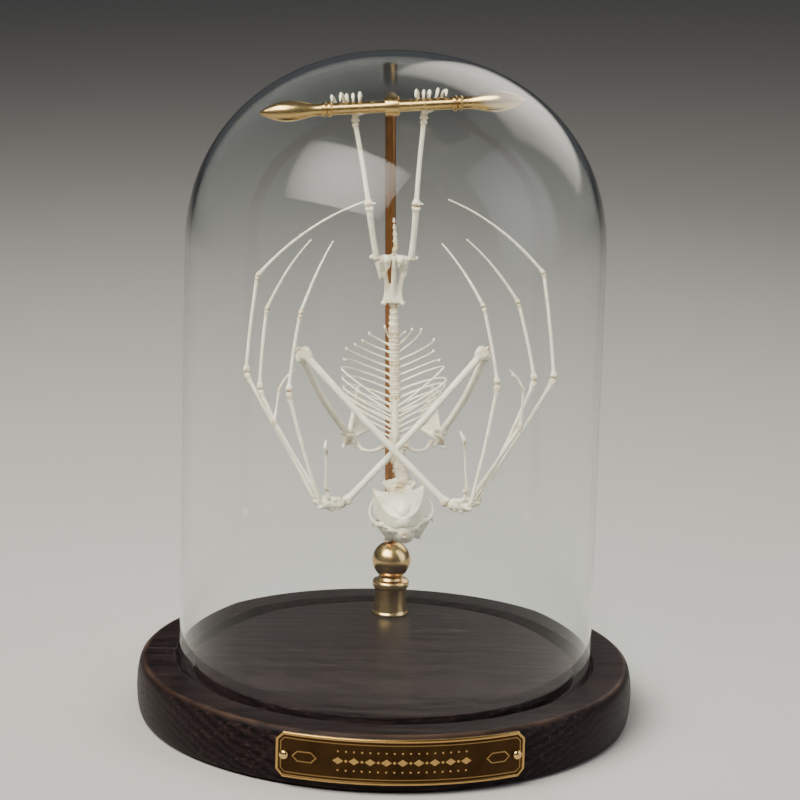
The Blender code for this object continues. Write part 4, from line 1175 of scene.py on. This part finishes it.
whip_radii = [0.95, 0.55, 0.5, 0.44, 0.38, 0.33, 0.28]
for side_name, sign in sides_of.items():
    hand = -sign
    for finger in (3, 4, 5):
        cad_node = f"metacarpal{finger}_{side_name}"
        base, knuckle = ends_of(cad_node)
        spur = knuckle - (knuckle - base).normalized() * 3.2
        spurs = [(moved(spur, 0.9 * hand, 0, 0), (0.45, 0.45, 0.7))]
        bow = (0.5 * hand, 0, 0)
        palm = long_bone(base, knuckle, 0.68, (1.0, 0.95, 3.2), (1.3, 1.15, 5.2), bow, 0.17, spurs)
        show_bone(f"hand_bone_{finger}_{side_name}", palm, [base, knuckle], cad_node, reach=2.4)

        cad_node = f"phalanx{finger}_1_{side_name}"
        start, end = ends_of(cad_node)
        first = long_bone(start, end, 0.6, (1.3, 1.15, 4.4), (0.9, 0.85, 2.8), (0.35 * hand, 0, 0), 0.16)
        show_bone(f"finger_bone_{finger}_{side_name}", first, [start, end], cad_node, reach=2.2)

        cad_node = f"phalanx{finger}_2_{side_name}"
        line = line_of(cad_node)
        radii = whip_radii[: len(line)]
        line.insert(1, line[0].lerp(line[1], 0.3))
        radii.insert(1, 0.62)
        whip = together([rod(line, radii, 12, 8)])
        show_bone(f"finger_tip_{finger}_{side_name}", whip, [line[0]], cad_node, reach=2.0)

    base, tip = ends_of(f"digit2_{side_name}")
    hand_end = moved(base, 16.0 * hand, 3.2, 25.4)
    joint = moved(tip, 5.2 * hand, 0.2, -7.2)
    shapes = [
        rod([base, base.lerp(hand_end, 0.5), hand_end], [0.85, 0.5, 0.8], 14, 10),
        lump(hand_end, (1.0, 0.9, 2.0)),
        rod([hand_end, hand_end.lerp(joint, 0.5), joint], [0.75, 0.4, 0.55], 14, 8),
        lump(joint, (0.7, 0.65, 0.8)),
        rod([joint, moved(joint.lerp(tip, 0.5), 0.3 * hand, 0, 0.5), tip], [0.5, 0.42, 0.2], 12, 8),
        lump(joint.lerp(tip, 0.72), (0.75, 0.5, 0.7)),
    ]
    second = fused(shapes, 0.15, 2)
    show_bone(f"second_finger_{side_name}", second, [hand_end, joint], f"digit2_{side_name}", reach=1.8)

# ---- Neck ---------------------------------------------------------------------------------------
# Seven broad, short neck vertebrae. The last two, axis and atlas, spread into wings that cradle the
# back of the skull.

neck_path = [moved(neck_low, 0, 1.6, 3.0), moved(neck_low.lerp(neck_high, 0.5), 0, 0.4, 0)]
neck_path.append(moved(neck_high, 0, 0, -1.2))
spine_part("neck_vertebrae", neck_path, 5, (2.8, 3.1, 2.3, 0.8), (1.0, 1.0), [neck_high, neck_low], "neck")
atlas_at = moved(neck_low, -0.9, -0.6, -1.0)
shapes = [
    lump(moved(atlas_at, 0, 0.4, 0), (5.0, 1.7, 2.6)),
    lump(moved(atlas_at, 0, 1.0, 2.4), (3.6, 1.8, 1.6)),
]
for sign in sides_of.values():
    wing_tip = moved(atlas_at, 5.2 * sign, 0.2, 1.5)
    wing = [moved(atlas_at, 2.6 * sign, 0, -0.6), wing_tip, moved(wing_tip, 0.3 * sign, 0, 1.3)]
    shapes += [rod(wing, [1.7, 1.0, 0.5]), lump(moved(atlas_at, 3.6 * sign, 0.6, 1.8), (1.5, 1.2, 1.5))]
slit = [lump(moved(atlas_at, -0.2, -1.6, 0.6), (1.5, 1.6, 0.5))]
atlas = fused(shapes, 0.18, 2, slit)
show_bone("atlas_and_axis", atlas, [moved(atlas_at, 0, -1, 1)], "neck", reach=4.0, tint=0.65)

# ---- Lower jaw ----------------------------------------------------------------------------------
# The head hangs crown down with its mouth closed, so the jaw is on top. Broad side plates rise from a
# solid chin to the jaw angles at the back, and a tall process each side passes inside the cheek arch.

skull_turn = (8.0, -6.0, 4.0)  # degrees about X, Y and Z
pitch, roll, yaw = (Matrix.Rotation(math.radians(turn), 4, axis) for turn, axis in zip(skull_turn, "XYZ"))
head = Matrix.Translation((4.6, -8.0, box_of("skull")[0].z + 10.6)) @ yaw @ roll @ pitch


def show_head(name, shapes, hollows, stained, *nodes):
    """A bone of the head, made with x across, y from nose to nape and z from crown to jaw."""
    mesh = fused(shapes, 0.2, 8, hollows)
    mesh.transform(head)
    show_bone(name, mesh, [head @ Vector(spot) for spot in stained], *nodes, reach=3.0)


def on_side(sign, *points):
    """Points of the head's right half, put on either side of it."""
    return [Vector((sign * x, y, z)) for x, y, z in points]


jaw_edge = ((1.2, -15.6, 5.4), (6.0, -14.8, 6.4), (7.6, -6.0, 8.2), (8.8, 4.4, 8.6))
tooth_edge = ((1.2, -15.4, 1.9), (6.2, -13.6, 1.0), (8.4, -4.8, -0.4), (9.5, 3.2, 1.0))
roof = []
for k, edge in enumerate(bezier(jaw_edge, 8)):
    t = k / 8
    rear = -15.6 + 11.8 * t  # the middle of the plate stops well short of the jaw's angles
    bulge = 2.4 * math.sin(math.pi * (0.15 + 0.75 * t))
    roof.append([])
    for s in np.linspace(-1, 1, 9):
        roof[-1].append((s * edge.x, rear + (edge.y - rear) * s * s, edge.z + bulge * (1 - s * s)))
shapes = [lump((0, -15.0, 3.8), (2.6, 1.7, 2.6)), lump((0, -8.8, 6.9), (4.2, 7.0, 3.6)), leaf(roof, 1.0)]
for sign in sides_of.values():
    lower, upper = (bezier(on_side(sign, *edge), 8) for edge in (jaw_edge, tooth_edge))
    tall = [
        on_side(sign, (7.6, -3.0, 4.6), (8.6, 0.4, 4.6), (9.3, 3.2, 4.4)),
        on_side(sign, (8.2, -1.8, 1.4), (8.8, 0.6, 1.4), (9.2, 2.8, 2.2)),
        on_side(sign, (8.7, -0.4, -2.0), (8.9, 0.4, -2.2), (9.0, 1.4, -1.2)),
    ]
    shapes += [
        leaf([[a.lerp(b, s) for s in (0, 0.25, 0.5, 0.75, 1)] for a, b in zip(lower, upper)], 1.1),
        rod(lower, [0.6, 0.6, 0.6, 0.55, 0.5, 0.5, 0.55, 0.65, 0.8], 12, 4),
        leaf(tall, 0.9),
        lump((9.0 * sign, 4.4, 5.0), (0.9, 1.1, 0.7)),
    ]
show_head("lower_jaw", shapes, [], [(8.6, 4.6, 8.8), (-8.6, 4.6, 8.8), (0, -4, 8)], "mandible")

# ---- Skull --------------------------------------------------------------------------------------
# A short, broad snout runs back to a rounded braincase. Slender cheek arches flare out at the sides,
# and a spike behind each eye socket points down and out. The nose opens at the front.

shapes = [
    lump((0, 6.0, -3.0), (7.5, 8.8, 7.2)),
    lump((0, 9.0, 1.0), (5.9, 5.8, 3.8)),
    lump((0, -1.0, -4.6), (5.4, 6.0, 4.9)),
    rod([(0, -1.0, -3.6), (0, -6.5, -3.6), (0, -11.0, -1.8), (0, -14.2, 0.2)], [5.2, 4.6, 3.7, 2.3], 18, 8),
    lump((0, -8.0, 1.8), (5.2, 6.8, 3.0)),
    lump((0, -14.3, -0.8), (2.4, 2.5, 2.6)),
    lump((0, 1.0, 3.2), (3.4, 7.0, 1.8)),
]
hollows = [lump((0, -17.3, -1.2), (1.4, 1.0, 1.4)), lump((0, 15.2, 0.4), (2.2, 1.8, 1.8))]
for sign in sides_of.values():
    arch = on_side(sign, (5.4, -9.2, 0.8), (12.4, -8.6, -0.8), (13.6, 4.4, 2.4), (7.2, 8.4, 4.2))
    arch_spike = on_side(sign, (10.2, -5.4, 0.4), (10.6, -5.2, -0.6), (10.9, -5.0, -1.8))
    brow_spike = on_side(sign, (3.6, -3.6, -6.6), (5.0, -3.6, -7.8), (6.4, -3.6, -8.6))
    tooth_row = on_side(sign, (1.0, -13.6, 0.4), (4.2, -11.6, 0.2), (6.4, -6.8, 0.0))
    cheek = on_side(sign, (9.4, -7.0, 0.4), (7.6, -6.6, -3.0), (5.9, -5.0, -6.4), (4.8, -3.8, -7.6))
    snout = on_side(sign, (5.0, -11.4, 1.8), (4.4, -10.6, -1.8), (3.6, -8.6, -4.6), (3.0, -6.2, -6.6))
    shapes += [
        rod(bezier(arch, 6), [1.5, 0.9, 0.56, 0.46, 0.44, 0.55, 0.9], 12, 5),
        rod(arch_spike, [0.5, 0.5, 0.26]),
        lump((4.0 * sign, -9.6, -0.4), (2.2, 2.6, 3.0)),
        leaf([[b.lerp(a, s) for s in (0, 0.35, 0.7, 1)] for a, b in zip(cheek, snout)], 1.1),
        rod(cheek, [0.8, 0.6, 0.6, 0.8], 12, 6),
        rod(brow_spike, [1.5, 0.7, 0.32]),
        lump((4.6 * sign, 10.6, 3.0), (1.7, 2.2, 1.6)),
        rod(tooth_row, [1.7, 1.8, 1.8]),
    ]
    hollows.append(lump((8.2 * sign, -1.6, -2.6), (2.6, 3.0, 2.8)))
    hollows.append(lump((5.9 * sign, -11.0, -0.2), (0.6, 1.3, 0.55)))
show_head("skull", shapes, hollows, [(0, -16.5, -0.5), (0, 10, 5)], "skull")

# ---- Glass dome ---------------------------------------------------------------------------------
# Blown borosilicate glass with a 2 mm wall, clear and polished all over. Its rounded, ground lip
# stands loose in the base's groove, and nothing else holds it.

dome_low, dome_high = box_of("dome")
dome_bottom, dome_top, dome_radius = dome_low.z, dome_high.z, dome_high.x
dome_wall = 2.0
crown_height = 70.0
crown_power = 2.13  # 2 is an ellipse, more is squarer at the shoulder
shoulder_height = dome_top - crown_height


def crown(radius, height, steps=40):
    """(radius, height) pairs from the shoulder to the pole."""
    found = []
    for i in range(steps + 1):
        angle = 0.5 * math.pi * i / steps
        reach = radius * max(0.0, math.cos(angle)) ** (2 / crown_power) if i < steps else 0.0
        found.append((reach, shoulder_height + height * math.sin(angle) ** (2 / crown_power)))
    return found


inner = dome_radius - dome_wall
lip = []
for degrees in range(0, 190, 15):
    angle = math.radians(degrees)
    lip.append((inner + 0.5 * dome_wall * (1 - math.cos(angle)), dome_bottom + 1.0 - math.sin(angle)))
rings = [dome_bottom + (shoulder_height - dome_bottom) * t for t in (0.25, 0.5, 0.75)]
inside = crown(inner, crown_height - dome_wall)[::-1] + [(inner, height) for height in reversed(rings)]
outside = [(dome_radius, height) for height in rings] + crown(dome_radius, crown_height)
bm = turned(inside + lip + outside, 144)
bmesh.ops.remove_doubles(bm, verts=bm.verts, dist=0.0001)

# Its real IOR is 1.47. In so thin a wall a lower one only dims the mirror image of the pale room.
glass, node, place = blank_material("borosilicate_glass")
clear = node(
    "ShaderNodeBsdfPrincipled",
    {"Base Color": "#FBFEFD", "Roughness": 0.0, "IOR": 1.27, "Transmission Weight": 1.0},
)[0]
lamps_through = node("ShaderNodeBsdfTransparent", {"Color": "#F4F7F6"})[0]
is_shadow = node("ShaderNodeLightPath")["Is Shadow Ray"]
glass_surface = node("ShaderNodeMixShader", {0: is_shadow, 1: clear, 2: lamps_through})[0]
node("ShaderNodeOutputMaterial", {"Surface": glass_surface})

show("glass_dome", to_mesh(bm), glass, "clear_glass", "dome")

# ---- Room ---------------------------------------------------------------------------------------
# A plain pale floor of matt board that the case stands on, soft lamps at the front, side and back,
# and the camera a little above the case.

floor_half = 6.0
floor_corners = [(floor_half * x, floor_half * y, 0) for x, y in ((-1, -1), (1, -1), (1, 1), (-1, 1))]
floor_mesh = bpy.data.meshes.new("floor")
floor_mesh.from_pydata(floor_corners, [], [(0, 1, 2, 3)])
floor = link_object("floor", floor_mesh)
paper, node, place = blank_material("pale_matt_board")
fleck = node("ShaderNodeTexNoise", {"Vector": place, "Scale": 300.0, "Detail": 2.0})["Fac"]
paper_rough = node("ShaderNodeMapRange", {0: fleck, 1: 0.0, 2: 1.0, 3: 0.7, 4: 0.8})[0]
paper_shader = node("ShaderNodeBsdfPrincipled", {"Base Color": "#BFBDBA", "Roughness": paper_rough})[0]
node("ShaderNodeOutputMaterial", {"Surface": paper_shader})
floor_mesh.materials.append(paper)


def lamp(name, place, aim, size, power, colour):
    """A soft rectangular lamp pointed at a spot."""
    light = bpy.data.lights.new(name, "AREA")
    light.shape = "RECTANGLE"
    light.size, light.size_y = size
    light.energy = power
    light.color = linear(colour)[:3]
    light.spread = math.radians(70)  # the light stays on the case, so the floor behind it is dimmer
    holder = link_object(name, light)
    holder.location = place
    holder.rotation_euler = (Vector(aim) - Vector(place)).to_track_quat("-Z", "Y").to_euler()


middle = Vector((0, 0, 0.12))
lamp("key", (-0.6, -0.7, 1.2), middle, (1.5, 0.9), 11.0, "#FFF9EF")
lamp("side", (0.95, -0.2, 0.55), middle, (0.8, 1.2), 1.3, "#F4F7FF")
lamp("back", (0.5, 0.85, 0.7), middle, (1.0, 0.8), 1.1, "#FFF6EA")

world = bpy.data.worlds.new("studio")
bpy.context.scene.world = world
world.use_nodes = True
room_light = world.node_tree.nodes["Background"].inputs
room_light["Color"].default_value = linear("#BFC3C8")
room_light["Strength"].default_value = 0.13

camera = link_object("camera", bpy.data.cameras.new("camera"))
camera.data.lens = 160.2
camera.data.sensor_width = 36.0
camera.data.clip_start = 0.05
aim = Vector((0.003, 0.0, 0.484 * cad_bounds[1].z))
distance, elevation, roll_angle = 1.2796, math.radians(13.82), math.radians(1.59)
camera.location = aim + distance * Vector((0, -math.cos(elevation), math.sin(elevation)))
forward = (aim - camera.location).normalized()
level = forward.cross(Vector((0, 0, 1))).normalized()
upright = level.cross(forward)
right = level * math.cos(roll_angle) + upright * math.sin(roll_angle)
up = upright * math.cos(roll_angle) - level * math.sin(roll_angle)
camera.rotation_euler = Matrix((right, up, -forward)).transposed().to_euler()
bpy.context.scene.camera = camera
